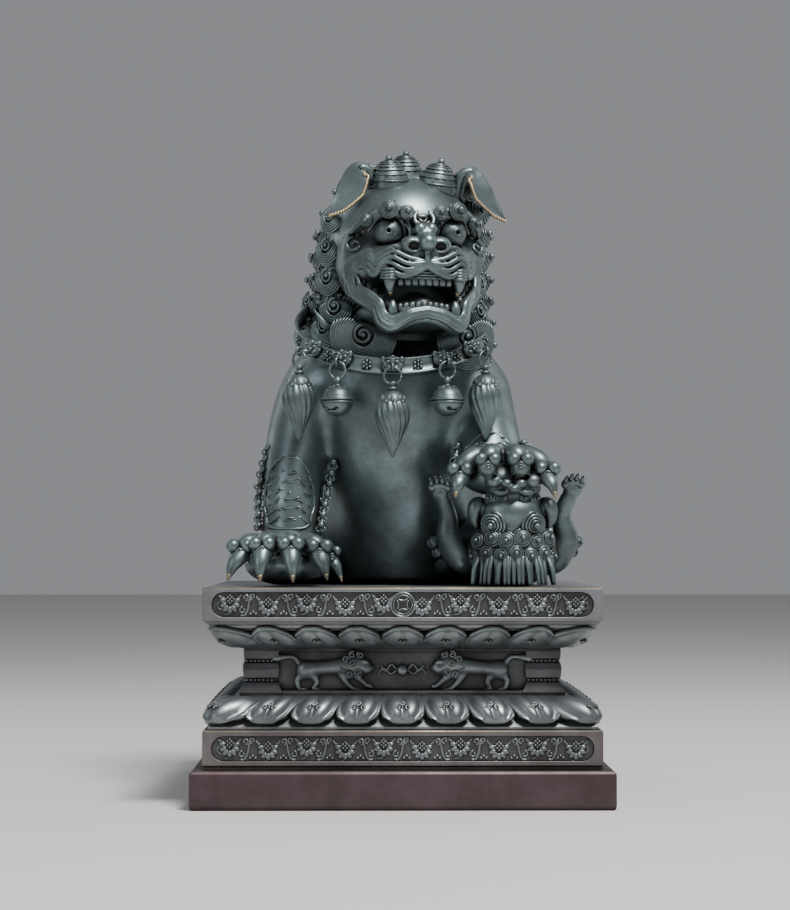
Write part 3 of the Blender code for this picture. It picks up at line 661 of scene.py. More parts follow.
def peony(heap, x, z, size):
    """A flower seen from the side: a beaded dome over spread petals, on a short stem."""
    for i in range(-1, 2):
        for k in range(-1, 2):
            spot = (x + size * (0.17 * (i + k)), -1.9 - 0.5 * (abs(i) + abs(k) < 2),
                    z + size * (0.34 + 0.17 * (i - k)))
            ball_into(heap, spot, 0.115 * size, segments=7, rings=5)
    ball_into(heap, (x, -0.6, z + 0.30 * size), (0.42 * size, 1.6, 0.40 * size), segments=12, rings=7)
    for angle in (-75, -38, 0, 38, 75, 112, -112):
        a = radians(angle)
        reach = size * (0.56 if abs(angle) < 100 else 0.62)
        turn = np.array([[cos(a), 0, -sin(a)], [0, 1, 0], [sin(a), 0, cos(a)]])
        centre = (x + reach * sin(a), -1.0, z - 0.02 * size - reach * cos(a))
        ball_into(heap, centre, (0.25 * size, 1.25, 0.36 * size), turn, segments=9, rings=7)
    stem = spline([(x, -0.8, z - 0.55 * size), (x - 0.1 * size, -1.1, z - 0.9 * size),
                   (x - 0.5 * size, -0.9, z - 1.02 * size)], 4)
    tube_into(heap, stem, 0.5, 6)
    for side in (-1, 1):
        leaf = [(x + side * 0.70 * size, -0.7, z + 0.45 * size),
                (x + side * 0.98 * size, -1.0, z + 0.72 * size),
                (x + side * 1.05 * size, -0.6, z + 0.98 * size)]
        tube_into(heap, spline(leaf, 4), np.linspace(1.0, 0.35, 9), 6)


def vine(heap, x, low, high, hand):
    """A stem that rises between two flowers and parts into scrolls, with a trefoil at its foot."""
    height = high - low
    stem = [(x - hand * 5.2, -0.8, low + 0.7), (x - hand * 2.6, -1.0, low + 1.0),
            (x - hand * 0.6, -1.1, low + 0.36 * height),
            (x, -1.2, low + 0.62 * height), (x + hand * 1.2, -1.1, low + 0.84 * height)]
    tube_into(heap, spline(stem, 5), np.linspace(0.95, 0.7, 21), 7)
    for side, rise in ((-1, 0.80), (1, 0.84)):
        curl = spiral(2.1, 1.05, -pi / 2, -side, 16, 0.3)
        rows = upright(curl, x + side * 2.2, -1.2, low + rise * height)
        tube_into(heap, rows, np.linspace(0.8, 0.55, 16), 6)
    loop = spiral(2.2, 0.95, pi / 2, hand, 14, 0.35)
    rows = upright(loop, x - hand * 3.9, -1.0, low + 0.27 * height)
    tube_into(heap, rows, np.linspace(0.8, 0.6, 14), 6)
    for dx, dz in ((0, 1.3), (-1.6, 0), (1.6, 0)):
        ball_into(heap, (x + hand * 2.4 + dx, -0.8, low + 1.7 + dz), (1.1, 1.2, 1.0), segments=8,
                  rings=5)


def coin(heap, z, radius):
    """A round open boss with a square eye in the middle, and four arcs between them."""
    angle = ring_angles(40)
    circle = np.column_stack([np.cos(angle), np.sin(angle)])
    for reach, wire in ((radius, 0.75), (radius - 1.5, 0.45)):
        ring = upright(reach * circle, 0, -1.8, z)
        tube_into(heap, np.vstack([ring, ring[:1]]), wire, 8)
    for k in range(4):
        a = k * pi / 2
        arc = np.linspace(-0.62, 0.62, 9)
        middle = radius * 1.02
        rows = [(cos(a) * middle - cos(a + t) * 0.66 * radius, -1.7,
                 z + sin(a) * middle - sin(a + t) * 0.66 * radius)
                for t in arc]
        tube_into(heap, rows, 0.55, 6)


def frieze(prefix, low, high, with_coin):
    """The carved strips in the four faces of one course: flowers with vines between them."""
    pitch = 23.5
    middle = (low + high) / 2
    for side, face in enumerate(SIDES):
        reach = BLOCK[(side + 1) % 2] - FRIEZE_DEEP
        half = BLOCK[side % 2] - 6.0
        heap = Heap()
        count = 2 * round((half - 10) / pitch + 0.5)
        step = 2 * (half - 10.8) / (count - 1)
        for i in range(count):
            x = (i - (count - 1) / 2) * step
            lift = 0.9 if i % 2 == 0 else -0.9
            peony(heap, x, middle + lift, 7.0)
            if i and not (with_coin and i == count // 2):
                vine(heap, x - step / 2, low, high, 1 if i % 2 else -1)
        for sign in (-1, 1):
            curl = spiral(4.6, 0.9, pi / 2, sign, 18, 0.35)
            tube_into(heap, upright(curl, sign * (half - 5.4), -0.9, middle), 0.5, 6)
        if with_coin:
            coin(heap, middle, 7.3)
        ground = Heap()
        round_bar(ground, half, (high - low) / 2 - 0.1, middle, -0.9, 0.35)
        place = {"turn": to_side(side), "move": to_side(side) @ (0, -reach, 0)}
        panel = ground.build(f"{prefix}_frieze_{face}_ground", FRIEZE_GROUND, slot="dark_recess_bronze",
                             **place)
        panel.data.shade_flat()
        heap.build(f"{prefix}_frieze_{face}_relief", RELIEF, replaces=(f"{prefix}_frieze_{face}",),
                   slot="dark_recess_bronze", **place)


def petal_course(name, profile, material, replaces, boss, scroll, up):
    """Lotus petals round a course. profile rows are (outset from the waist, z) from root to lip."""
    profile = spline(profile, 6)
    travel = np.concatenate([[0], np.cumsum(np.hypot(*np.diff(profile, axis=0).T))])
    travel /= travel[-1]
    lip_out = profile[:, 0].max()
    outer = WAIST + lip_out
    corner_wide, wide = 23.0, 28.0
    heap, scrolls = Heap(), Heap()
    centres = []
    for side in range(4):
        half = outer[side % 2]
        run = 2 * (half - corner_wide)
        count = round(run / wide)
        for i in range(count):
            centres.append((side, (i + 0.5) * run / count - run / 2, run / count / 2, False))
        centres.append((side, half, corner_wide, True))

    across, along = 25, 26
    u = np.linspace(-1, 1, across)[:, None]
    t = np.linspace(0, 1, along)[None, :]
    end = 1 - 0.26 * np.abs(u) ** 2.6
    v = t * end
    out = np.interp(v, travel, profile[:, 0])
    z = np.interp(v, travel, profile[:, 1])
    dz, dout = np.gradient(profile[:, 1], travel), np.gradient(profile[:, 0], travel)
    tilt = np.hypot(dz, dout)
    sign = -1 if up else 1
    normal_out = np.interp(v, travel, -dz / tilt * sign)
    normal_z = np.interp(v, travel, dout / tilt * sign)
    lip_rim = np.exp(-(((1 - t) / 0.10) ** 2))
    side_rim = np.exp(-(((1 - np.abs(u)) / 0.10) ** 2)) * 0.9 * np.clip(3 * t, 0, 1)
    rim = lip_rim + side_rim
    lobe = 1 - ((np.abs(u) - 0.31) / 0.42) ** 2 - ((v - 0.52) / 0.34) ** 2
    lobes = boss * np.sqrt(np.clip(lobe, 0, 1))
    notch = np.exp(-((u / 0.10) ** 2)) * np.clip((v - 0.5) / 0.3, 0, 1)
    swell = 0.7 * (1 - u**4) * np.sin(pi * np.clip(v, 0, 1)) + lobes * (1 - 0.75 * notch) + rim - 0.8
    side_drop = 1.6 * np.clip((np.abs(u) - 0.93) / 0.07, 0, 1) ** 2
    lip_drop = 2.6 * np.clip((t - 0.95) / 0.05, 0, 1) ** 2
    swell = swell - (side_drop + lip_drop)
    out_all, z_all = out + normal_out * swell, z + normal_z * swell
    faces = grid_faces(across, along)
    for side, centre, half_width, at_corner in centres:
        turn = to_side(side)
        lean = (WAIST[side % 2] + out) / outer[side % 2]
        s = centre * lean + u * half_width * (0.80 + 0.20 * np.sin(pi * np.clip(v, 0, 1) ** 0.8))
        if not at_corner:
            x = s
            y = -(WAIST[(side + 1) % 2] + out_all)
            points = np.stack([x, y * np.ones_like(x), z_all * np.ones_like(x)], axis=-1)
        else:
            corner = 9.0
            flat = np.array([WAIST[side % 2], WAIST[(side + 1) % 2]])[:, None, None] + out_all - corner
            arc = u * half_width * (0.86 + 0.14 * np.sin(pi * np.clip(v, 0, 1)))
            angle = np.clip(arc / corner, -pi / 4, pi / 4)
            extra = arc - angle * corner
            cx, cy = flat
            x = cx + corner * np.sin(pi / 4 + angle) + np.where(extra < 0, extra, 0)
            y = -(cy + corner * np.cos(pi / 4 + angle)) + np.where(extra > 0, extra, 0)
            points = np.stack([x, y, z_all * np.ones_like(x)], axis=-1)
        heap.add(points.reshape(-1, 3), faces if not up else faces[:, ::-1], turn)
        if scroll:
            at = int((0.58 if up else 0.60) * along)
            middle = across // 2
            spot = points[middle, at]
            right = unit(points[middle + 3, at] - points[middle - 3, at])
            down = unit(points[middle, at + 3] - points[middle, at - 3])
            normal = np.cross(right, down) if up else np.cross(down, right)
            frame_turn = np.column_stack([right, -down, normal])
            lift = 0.4 + 0.45 * boss
            for cx, cy, hand, begin in ((-2.9 * scroll, -0.8, 1, -pi / 2),
                                        (2.9 * scroll, -0.8, -1, -pi / 2),
                                        (0, 1.6 * scroll, 1, pi)):
                curl = spiral(1.55 * scroll, 0.95, begin, hand, 14, 0.42)
                rows = level(curl + (cx, cy), lift)
                tube_into(scrolls, (rows @ frame_turn.T + spot) @ turn.T, 0.42 * scroll, 6)
                bead = (np.array((cx, cy, lift + 0.2)) @ frame_turn.T + spot) @ turn.T
                ball_into(scrolls, bead, 0.55 * scroll, segments=8, rings=5)
    heap.add_heap(scrolls)
    made = heap.build(name, material, replaces=replaces)
    thick = made.modifiers.new("casting", "SOLIDIFY")
    thick.thickness = 0.9 * MM
    thick.offset = -1
    return made


plinth = moulding("plinth_skin", PLINTH, [(-0.4, 0.4), (0, 3.0), (0, 22.0), (-1.6, 24.0)], BRONZE_BROWN,
                  ("base_plinth",), roof=3.0)
soften(plinth, 0.8)
block = moulding("lower_block_skin", BLOCK, [(-1.0, 24.0), (-1.0, 26.0), (0, 26.6), (0, 47.4),
                                             (-0.8, 48.2)], BLOCK_BRONZE,
                 ("lower_frieze_block",), roof=3.0)
slab = moulding("slab_skin", BLOCK, [(-3.0, 112.4), (-1.0, 114.4), (0, 115.0), (0, 134.4),
                                     (-0.8, SLAB_TOP)], SLAB_BRONZE,
                ("top_slab",), roof=5.0)
for course, z in ((block, 37.0), (slab, 124.8)):
    cuts = Heap()
    for side in range(4):
        face = BLOCK[(side + 1) % 2]
        round_bar(cuts, BLOCK[side % 2] - 5.6, 7.6, z, face - FRIEZE_DEEP, face + 3, to_side(side))
    carve(course, cuts)
    soften(course, 0.45)
frieze("lower", 29.6, 44.4, False)
frieze("upper", 117.4, 132.2, True)

waist = moulding("waist_skin", WAIST, [(3.2, 68.0), (3.2, 70.2), (2.2, 71.2), (-2.0, 72.0),
                                       (-2.0, 95.0), (0.8, 95.4), (0.8, 97.0)],
                 BRONZE_DARK, ("waist_block",))
soften(waist, 0.3)

PILASTER_HALF = 10.2
PILASTER = ((3.3, 69.0), (3.3, 70.6), (2.5, 71.4), (0.5, 76.0), (-0.8, 77.0), (-0.8, 78.0), (0.6, 79.0),
            (1.2, 84.0), (0.6, 88.0),
            (-0.8, 88.8), (-0.8, 90.0), (0.4, 90.8), (0.8, 96.0))
pilasters, beads = Heap(), Heap()
for sx in (-1, 1):
    for sy in (-1, 1):
        centre = np.array((sx * (WAIST[0] - 10.0), sy * (WAIST[1] - 10.0), 0))
        start = pilasters.count
        points = [(kx * (PILASTER_HALF + out), ky * (PILASTER_HALF + out), z)
                  for out, z in PILASTER for kx, ky in CORNERS]
        pilasters.add(points, grid_faces(len(PILASTER), 4, wrap_columns=True), move=centre)
        pilasters.faces.append(np.array([[3, 2, 1, 0]]) + start)
        pilasters.faces.append(np.array([[0, 1, 2, 3]]) + start + 4 * (len(PILASTER) - 1))
        for z in (77.5, 89.4):
            for along in np.arange(-9.0, 9.1, 2.6):
                ball_into(beads, centre + (along, sy * (PILASTER_HALF - 0.5), z), 0.85, segments=7,
                          rings=5)
                ball_into(beads, centre + (sx * (PILASTER_HALF - 0.5), along, z), 0.85, segments=7,
                          rings=5)
made = pilasters.build("pilasters", BRONZE_DARK)
made.data.shade_flat()
soften(made, 0.35, 2)


def panel_lion():
    """A lion in low relief, facing +X, about the middle of its body."""
    clay = Clay((-36, -9, -17), (36, 4, 15), 0.75)
    clay.rope([(-13, 0, 0, 5.0), (-2, 0, 0.6, 4.6), (12, 0, 2, 5.6)])
    clay.ball((-13, 0, -1), (6, 4.6, 6), blend=2)
    clay.ball((18.5, 0, 2.2), (8.2, 5.2, 7.2), blend=1)
    clay.ball((24.5, -1.5, 0.6), (4.6, 4.4, 4.0), blend=1)
    clay.ball((28.4, -1.5, 0.4), (1.6, 2.0, 1.5), blend=0.6)
    clay.rope([(21, -3, 4.4, 1.0), (24, -4.4, 4.8, 1.1), (26.5, -3.4, 3.4, 0.8)], 0.5)
    clay.rope([(-16, 0, 2, 2.0), (-20, 0, 7, 1.7), (-25, 0, 7.4, 1.6), (-31, 0, 6.6, 2.6),
               (-34, 0, 6, 0.9)], 1)
    for leg in (((-14, 0, -3, 3.4), (-18, 0, -7, 2.2), (-17, 0, -12, 1.7), (-13, 0, -13.6, 1.8)),
                ((-10, 0, -3, 3.0), (-6, 0, -8, 2.0), (-8, 0, -12.6, 1.5), (-4, 0, -13.8, 1.7)),
                ((9, 0, -3, 3.0), (12, 0, -8, 2.1), (17, 0, -12.6, 1.6), (21, 0, -14, 1.9)),
                ((13, 0, -2, 2.6), (20, 0, -6, 2.0), (25, 0, -10, 1.7), (27.5, 0, -11, 1.8))):
        clay.rope(leg, 1.2)
    heap = clay.heap()
    for k, (x, z) in enumerate(((12, 6), (16, 9), (21, 9), (11, 1), (14, -3), (16, 3.5), (19, -2))):
        tube_into(heap, upright(spiral(2.3, 1.3, k, 1, 14, 0.25), x, -5.1, z), 0.6, 6)
    return heap


lion = panel_lion()
reliefs = Heap()
for side in range(4):
    half = WAIST[side % 2] - 2 * PILASTER_HALF
    face = Heap()
    middle = 0.61 * half
    face.add_heap(lion, None, (-middle, 0, 84.4))
    face.add_heap(lion, np.diag((-1.0, 1.0, 1.0)), (middle, 0, 84.4))
    ball_into(face, (0, -1.0, 83.5), (3.6, 3.0, 3.6), segments=20, rings=12)
    for sx in (-1, 1):
        for begin, reach, rise in ((3.4, 10, 3.2), (3.0, 12, -2.6)):
            ribbon = [(sx * (begin + reach * share), y, 84 + up * rise)
                      for share, y, up in ((0, -0.6, 0), (0.35, -1.0, 1), (0.7, -1.0, -0.3),
                                           (1, -0.8, 1))]
            tube_into(face, spline(ribbon, 6), np.linspace(0.75, 0.5, 19), 7)
    reliefs.add_heap(face, to_side(side), to_side(side) @ (0, -(WAIST[(side + 1) % 2] - 1.6), 0))
reliefs.add_heap(beads)
reliefs.build("waist_reliefs", RELIEF)

moulding("lotus_base", BLOCK, [(-3.2, 48.5), (-3.2, 50.0), (-5.5, 52.5), (-9.0, 56.0)], RELIEF, ())
moulding("slab_under", BLOCK, [(-7.5, 108.6), (-5.0, 110.6), (-4.2, 112.0), (-4.2, 114.2)], RELIEF, ())
edge = Heap()
for z, half, wire in ((SLAB_TOP - 0.55, BLOCK - 0.55, 0.5), (47.5, BLOCK - 0.5, 0.35)):
    corners = [(sx * half[0], sy * half[1], z) for sx, sy in (*CORNERS, CORNERS[0])]
    for first, last in zip(corners, corners[1:]):
        tube_into(edge, [first, last], wire, 8)
edge.build("rubbed_edges", BARE_EDGE)
petal_course("lower_lotus_skin", [(2.0, 69.5), (10.5, 66.5), (18.0, 62.0), (23.5, 56.5), (24.5, 53.5),
                                  (22.0, 50.6)], RELIEF,
             ("lower_lotus_course",), 3.4, 1.15, False)
petal_course("upper_lotus_skin", [(0.8, 96.0), (6.0, 97.6), (13.0, 101.0), (19.0, 105.6),
                                  (23.5, 110.5)], RELIEF,
             ("upper_lotus_course",), 1.5, 0.6, True)


# ---------------------------------------------------------------- body
# Sections are (z, centre x, centre y, half width, half depth), bottom to top.
TORSO = (
    (135, 0, 28, 50, 62), (160, 0, 18, 54, 72), (190, -1, 6, 56, 78), (220, -2, -4, 58, 80),
    (245, -3, -14, 60, 74),
    (265, -4, -22, 63, 67), (276, -5, -23, 62, 63), (286, -5, -19, 57, 50), (297, -5, -16, 50, 42),
    (310, -3, -14, 46, 40),
)
RIGHT_LEG = (
    (140, -70, -66, 22, 22), (165, -70, -64, 19.5, 21), (185, -69.5, -61, 19, 21),
    (205, -69, -55, 19.5, 23),
    (230, -66, -44, 21, 28), (255, -60, -34, 22, 34), (275, -52, -28, 22, 34), (290, -42, -26, 18, 28),
)
LEFT_LEG = (
    (200, 62, -84, 19, 16), (215, 58, -74, 20.5, 20), (232, 54.5, -58, 21.5, 25),
    (250, 51, -42, 22.5, 31),
    (270, 47, -30, 22.5, 34), (288, 38, -26, 19, 28),
)
HAUNCH = (
    (135, 60, 40, 21, 53), (150, 61, 41, 27, 55), (172, 59, 46, 30, 49), (196, 54, 50, 28, 39),
    (214, 46, 50, 20, 27),
)
TAIL = (
    (0, 84, 158, 11), (0, 97, 182, 14), (0, 98, 212, 16), (0, 88, 242, 15), (0, 78, 268, 11),
    (0, 74, 292, 5),
)

body = Clay((-118, -112, 133), (112, 124, 316), 1.45)
body.loft(TORSO, cap=6)
for leg in (RIGHT_LEG, LEFT_LEG):
    body.loft(leg, blend=11, cap=9)
for side in (-1, 1):
    body.loft([(z, side * cx, cy, rx, ry) for z, cx, cy, rx, ry in HAUNCH], blend=8, cap=6)
    body.ball((side * 66, -6, 146), (20, 27, 13), blend=7)
    for toe in (-12, -4, 4, 12):
        body.ball((side * 66 + toe, -28 + abs(toe) * 0.5, 145), (5.2, 10, 7), blend=2)
    body.rope([(side * 84, 10, 150, 2.5), (side * 88, 40, 172, 3), (side * 82, 62, 196, 3),
               (side * 66, 70, 214, 2)], 4)
for y in np.arange(60, 100, 8):
    body.ball((0, y - 22, 300 - 1.2 * (y - 60)), (5, 5, 5), blend=3)
body.cut_below(SLAB_TOP)

body_nodes = ("torso", "right_foreleg", "left_foreleg", "right_haunch", "left_haunch")
body.heap().build("body_skin", BRONZE, replaces=body_nodes)


def on_body(rows, lift=0.0, from_y=-170.0, clay=body):
    """Drops (x, z) rows on the front of the clay, and lifts them off along the normal."""
    made = []
    for x, z in rows:
        point = clay.hit((x, from_y, z), (0, 1, 0), 200)
        if point is not None:
            made.append(point + lift * clay.normal(point))
    return np.array(made)


def snail(heap, centre, outward, radius, height, hand=1, turns=1.7, begin=0.0, wire=0.24, bead=0.24,
          dome=1.6):
    """A curl that winds up to a bead at its tip. dome is 1 for a cone and more for a fuller shape."""
    turn = basis(outward)
    steps = int(13 * turns) + 6
    flat = spiral(radius, turns, begin, hand, steps, 0.10)
    near = np.hypot(flat[:, 0], flat[:, 1]) / radius
    rise = height * (1 - near**dome)
    rows = np.column_stack([flat, rise])
    tube_into(heap, rows @ turn.T + centre, radius * wire * np.linspace(1.0, 0.7, steps), 6)
    ball_into(heap, np.array(centre) + turn @ (0, 0, height + 0.5 * bead * radius), bead * radius,
              segments=9, rings=6)
    rings = [(r * radius, height * (1 - r**dome)) for r in (0.99, 0.8, 0.55, 0.3, 0.08)]
    rings = [(rings[0][0], -3.5), *rings]
    points = [(r * cos(a), r * sin(a), z) for r, z in rings for a in ring_angles(14)]
    start, last = heap.count, 14 * (len(rings) - 1)
    heap.add(np.array(points) @ turn.T + centre, grid_faces(len(rings), 14, wrap_columns=True))
    heap.faces += [np.arange(14)[None, ::-1] + start, np.arange(14)[None, :] + last + start]


def claw(horn, tips, knuckle, tip, width):
    """A thick claw under two knuckle beads, with folds at its root and a bare tip."""
    knuckle, tip = np.array(knuckle, float), np.array(tip, float)
    bend = knuckle * 0.45 + tip * 0.55 + np.array((0, -2.4, 0.4))
    path = spline([knuckle + (0, 3.0, -1.0), knuckle + (0, -1.6, -4.0), bend, tip], 7)
    size = width * tapered(len(path), [0, 0.3, 0.6, 0.85, 1], [0.56, 0.56, 0.42, 0.20, 0.05])
    tube_into(horn, path, size, 16, flat=0.80)
    share = len(path) * 17 // 20
    tube_into(tips, path[share:], size[share:] * 1.03 + 0.04, 16, flat=0.80)
    tube_into(horn, path[6:-2] + (0, -0.74, 0) * size[6:-2, None], 0.55, 6)
    for side in (-1, 1):
        ball_into(horn, knuckle + (side * 0.365 * width, -2.2, 1.6), 0.385 * width, segments=18,
                  rings=11)
    for drop in (0.0, 1.7, 3.4):
        fold = [knuckle + (out * width, y, z - drop) for out, y, z in
                ((-0.53, -0.6, -5.0), (-0.25, -4.6, -2.4), (0, -5.4 - 0.3 * drop, -0.2),
                 (0.25, -4.6, -2.4), (0.53, -0.6, -5.0))]
        tube_into(horn, spline(fold, 4), 0.72, 6)


def paw(centre, radii, toes, lean):
    """Pad and toes of a forepaw. toes are the places of its knuckles."""
    clay = Clay(np.array(centre) - (46, 42, 26), np.array(centre) + (46, 40, 34), 0.8)
    clay.ball(centre, radii)
    clay.ball(np.array(centre) + (0, 14, 10), (radii[0] * 0.82, radii[1] * 0.8, 15), blend=8)
    for knuckle in np.array(toes, float):
        back = np.array(centre) * 0.55 + knuckle * 0.45
        back[2] = centre[2] + 10 + lean
        arch = [(*(back * (1 - t) + knuckle * t + (0, 0, 3.2 * sin(pi * t))), 6.6) for t in (0.35, 0.7)]
        clay.rope([(*back, 7.0), *arch, (*(knuckle + (0, 3.5, 0)), 5.9)], 1.6)
    return clay


RIGHT_KNUCKLES = ((-101, -106, 159), (-87, -113, 160.5), (-69, -114.5, 160.5), (-51.5, -109, 159))
RIGHT_TIPS = ((-108.5, -112, 139.2), (-88, -120.5, 138.0), (-67.5, -121.5, 138.0), (-46.5, -113, 139.2))
LEFT_KNUCKLES = ((36.0, -101, 207), (53.2, -107, 213), (73.7, -107, 213), (91.0, -101, 207.5))
LEFT_TIPS = ((33.0, -110, 190.5), (54.5, -104, 199.0), (72.5, -104, 199.0), (95.5, -110, 190.5))

right_paw = paw((-74, -86, 149), (25, 24, 13), RIGHT_KNUCKLES, 0)
right_paw.cut_below(SLAB_TOP)
left_paw = paw((63, -84, 203), (25, 22, 11), LEFT_KNUCKLES, 4)
horn, tips = Heap(), Heap()
for name, clay, knuckles, ends, width in (("right_paw", right_paw, RIGHT_KNUCKLES, RIGHT_TIPS, 11.6),
                                          ("left_paw", left_paw, LEFT_KNUCKLES, LEFT_TIPS, 11.2)):
    clay.heap().build(f"{name}_skin", BRONZE)
    for knuckle, end in zip(knuckles, ends):
        claw(horn, tips, knuckle, end, width)
claw(horn, tips, (-44, -92, 156), (-37.5, -95, 138.0), 8.0)
horn.build("claws", BRONZE_FINE)
tips.build("claw_tips", BARE_EDGE)


# ---------------------------------------------------------------- leg panels, strings and tail
def leg_panel(heap, middle, half, low, high, rows, clay):
    """A raised shield on a foreleg: an outline with notches, and plates stepped down at both sides."""
    top = [(middle + half * 0.84 * cos(a),
            high - half * 0.95 + half * 0.95 * sin(a)) for a in np.linspace(0.1, pi - 0.1, 11)]
    notch = low + 0.62 * (high - low)
    left = [(middle - half * 0.86, notch + 3), (middle - half * 0.96, notch - 2),
            (middle - half, (low + notch) / 2), (middle - half * 0.90, low + 8),
            (middle - half * 0.86, low + 3)]
    right = [(2 * middle - x, z) for x, z in reversed(left)]
    outline = [*right, *top, *left, (middle - half * 0.5, low), (middle + half * 0.5, low), right[0]]
    tube_into(heap, on_body(spline(outline, 3), 0.35, clay=clay), 0.95, 7)
    step = (high - low - 6) / (rows + 0.6)
    for k in range(rows):
        z = low + 6.5 + step * k
        reach = half * (0.88 if z < notch + 4 else 0.74)
        for drop, wire in ((0, 0.62), (1.5, 0.40)):
            ridge = [(middle + share * reach, z + rise - drop) for share, rise in
                     ((-1, -3.6), (-0.72, -1.4), (-0.46, 1.3), (-0.30, 0.5), (0, 0.1), (0.30, 0.5),
                      (0.46, 1.3), (0.72, -1.4), (1, -3.6))]
            tube_into(heap, on_body(spline(ridge, 2), 0.25, clay=clay), wire, 7)


def bead_string(heap, rows, radius):
    """Beads down the back edge of a leg with small scrolls between them."""
    path = spline(rows, 6)
    length = np.concatenate([[0], np.cumsum(np.linalg.norm(np.diff(path, axis=0), axis=1))])
    pitch = radius * 3.3
    for i, at in enumerate(np.arange(0, length[-1], pitch)):
        spot = np.array([np.interp(at, length, path[:, k]) for k in range(3)])
        ball_into(heap, spot, radius, segments=12, rings=8)
        between = np.array([np.interp(at + pitch / 2, length, path[:, k]) for k in range(3)])
        for dx, scale in ((-1.2, 1.15), (1.4, 0.9)):
            rows = upright(spiral(radius * scale, 1.1, 0.9 * i, 1, 12, 0.35), dx, 0, 0)
            tube_into(heap, rows + between + (0, 1.2, 0), radius * 0.30, 6)
    tube_into(heap, path + (0, 2.2, 0), radius * 0.75, 7)


carved = Heap()
leg_panel(carved, -71.5, 15.5, 171.5, 217, 6, body)
leg_panel(carved, 56.0, 16.5, 203.5, 232.0, 4, body)
bead_string(carved, [(-85.5, -58, 224), (-89.5, -60, 206), (-91.5, -64, 188), (-91.0, -68, 172)], 2.25)
bead_string(carved, [(-43.5, -64, 214), (-46.0, -68, 200), (-49.0, -74, 185), (-51.5, -80, 171)], 2.2)
bead_string(carved, [(36, -76, 224), (34, -82, 214), (34, -90, 205)], 2.5)
bead_string(carved, [(78, -72, 226), (82, -80, 217), (86, -86, 209)], 2.5)
carved.build("leg_panels", BRONZE_FINE)

tail = Clay((-46, 56, 136), (46, 126, 312), 1.0)
tail.rope(TAIL, 0)
for x, z, lean in ((-15, 226, -8), (15, 226, 8), (-22, 200, -11), (22, 200, 11), (-11, 256, -5),
                   (11, 256, 5)):
    tail.rope([(0, 92, z - 34, 8), (x * 0.7, 98, z - 18, 8.5), (x, 96, z, 7),
               (x + lean, 88, z + 14, 4.5), (x + 0.4 * lean, 80, z + 27, 1.2)], 2.5)
tail.heap().build("tail_skin", BRONZE, replaces=("tail",))
ridges = Heap()
for x, low, high in ((0, 176, 280), (-6, 186, 262), (6, 186, 262), (-15, 186, 240), (15, 186, 240),
                     (-21, 176, 216), (21, 176, 216)):
    rows = []
    for z in np.linspace(low, high, 14):
        point = tail.hit((x * (1 - 0.25 * (z - low) / (high - low)), 150, z), (0, -1, 0), 100)
        if point is not None:
            rows.append(point + (0, 0.35, 0))
    if len(rows) > 4:
        tube_into(ridges, rows, 1.1, 6)
for side in (-1, 1):
    for k, z in enumerate((172, 192)):
        snail(ridges, (side * (12 + 2 * k), 108 - 1.5 * k, z), (side * 0.5, 1, 0), 8.5, 5, -side)
    snail(ridges, (side * 72, 74, 176), (side * 0.9, 0.5, 0.2), 11, 6, side)
    snail(ridges, (side * 62, 80, 196), (side * 0.8, 0.5, 0.4), 8, 5, side)
ridges.build("tail_hair", BRONZE_FINE)


# ---------------------------------------------------------------- head, in its own turned frame
HEAD = np.array((1.0, -45.0, 352.0))
HEAD_TURN = radians(13)
HEAD_AXES = np.array([[cos(HEAD_TURN), -sin(HEAD_TURN), 0], [sin(HEAD_TURN), cos(HEAD_TURN), 0],
                      [0, 0, 1]])


def head_build(heap, name, material, **more):
    """Makes an object from a heap in the head's frame."""
    return heap.build(name, material, turn=HEAD_AXES, move=HEAD, **more)


def lip_depth(x):
    """How far forward the lips lie at x, in the head's frame."""
    return np.interp(np.abs(x), [0, 12, 20, 28, 34, 38, 42], [-65, -64, -61, -54, -47, -39, -28])


head = Clay((-54, -80, -66), (54, 56, 62), 0.80)
head.ball((0, 2, 9), (47, 48, 40))
head.ball((0, -36, -9), (37, 28, 13), blend=7)
for side in (-1, 1):
    head.ball((side * 33, -17, -12), (14, 24, 22), blend=8)
    head.ball((side * 38, -26, 0), (6.5, 8, 7), blend=5)
head.ball((0, -24, -44), (36, 36, 11.5), blend=4)
head.ball((0, -40, -31.5), (34, 36, 11.5), blend=2, carve=True)
head.ball((0, -62, -31), (30, 18, 9), blend=2, carve=True)
for side in (-1, 1):
    head.ball((side * 20.5, -49, 6.6), (10.6, 7, 10.0), blend=2, carve=True)
    head.rope([(side * 6, -50, 14, 3), (side * 13, -51.5, 17.5, 4.4), (side * 23, -50, 18.8, 4.8),
               (side * 32, -44, 16, 4.2),
               (side * 39, -34, 9, 3)], 2.5)
    head.rope([(side * 10, -49.5, 3.0, 1.2), (side * 12.5, -51, 11.5, 1.5),
               (side * 19, -51.5, 16.4, 1.7), (side * 27, -49, 15.2, 1.6),
               (side * 32.5, -42.5, 7.5, 1.2)], 0.8)
    for k in range(2):
        head.rope([(side * (11 - 1.6 * k), -52.5, 11 + 2.4 * k, 1.0),
                   (side * (8.2 - 1.6 * k), -53.5, 6, 1.1),
                   (side * (9.4 - 1.6 * k), -53, -0.5 - k, 1.0)], 0.5)
    head.ball((side * 9.0, -61, -3.4), (7.6, 6.4, 6.2), blend=1.6)
    head.ball((side * 8.6, -67.0, -4.4), (3.9, 4.6, 3.0), blend=0.5, carve=True)
    head.ball((side * 3.5, -61.5, 6.8), (4.0, 3.8, 4.2), blend=1.0)
    head.rope([(side * 4, -55, 19, 1.2), (side * 6.2, -57, 14, 1.4), (side * 4.2, -60, 8.6, 1.2)], 0.6)
head.rope([(0, -48, 11, 4.4), (0, -54, 7, 5.0), (0, -60, 3, 5.4), (0, -64, -1, 5.6)], 2.0)
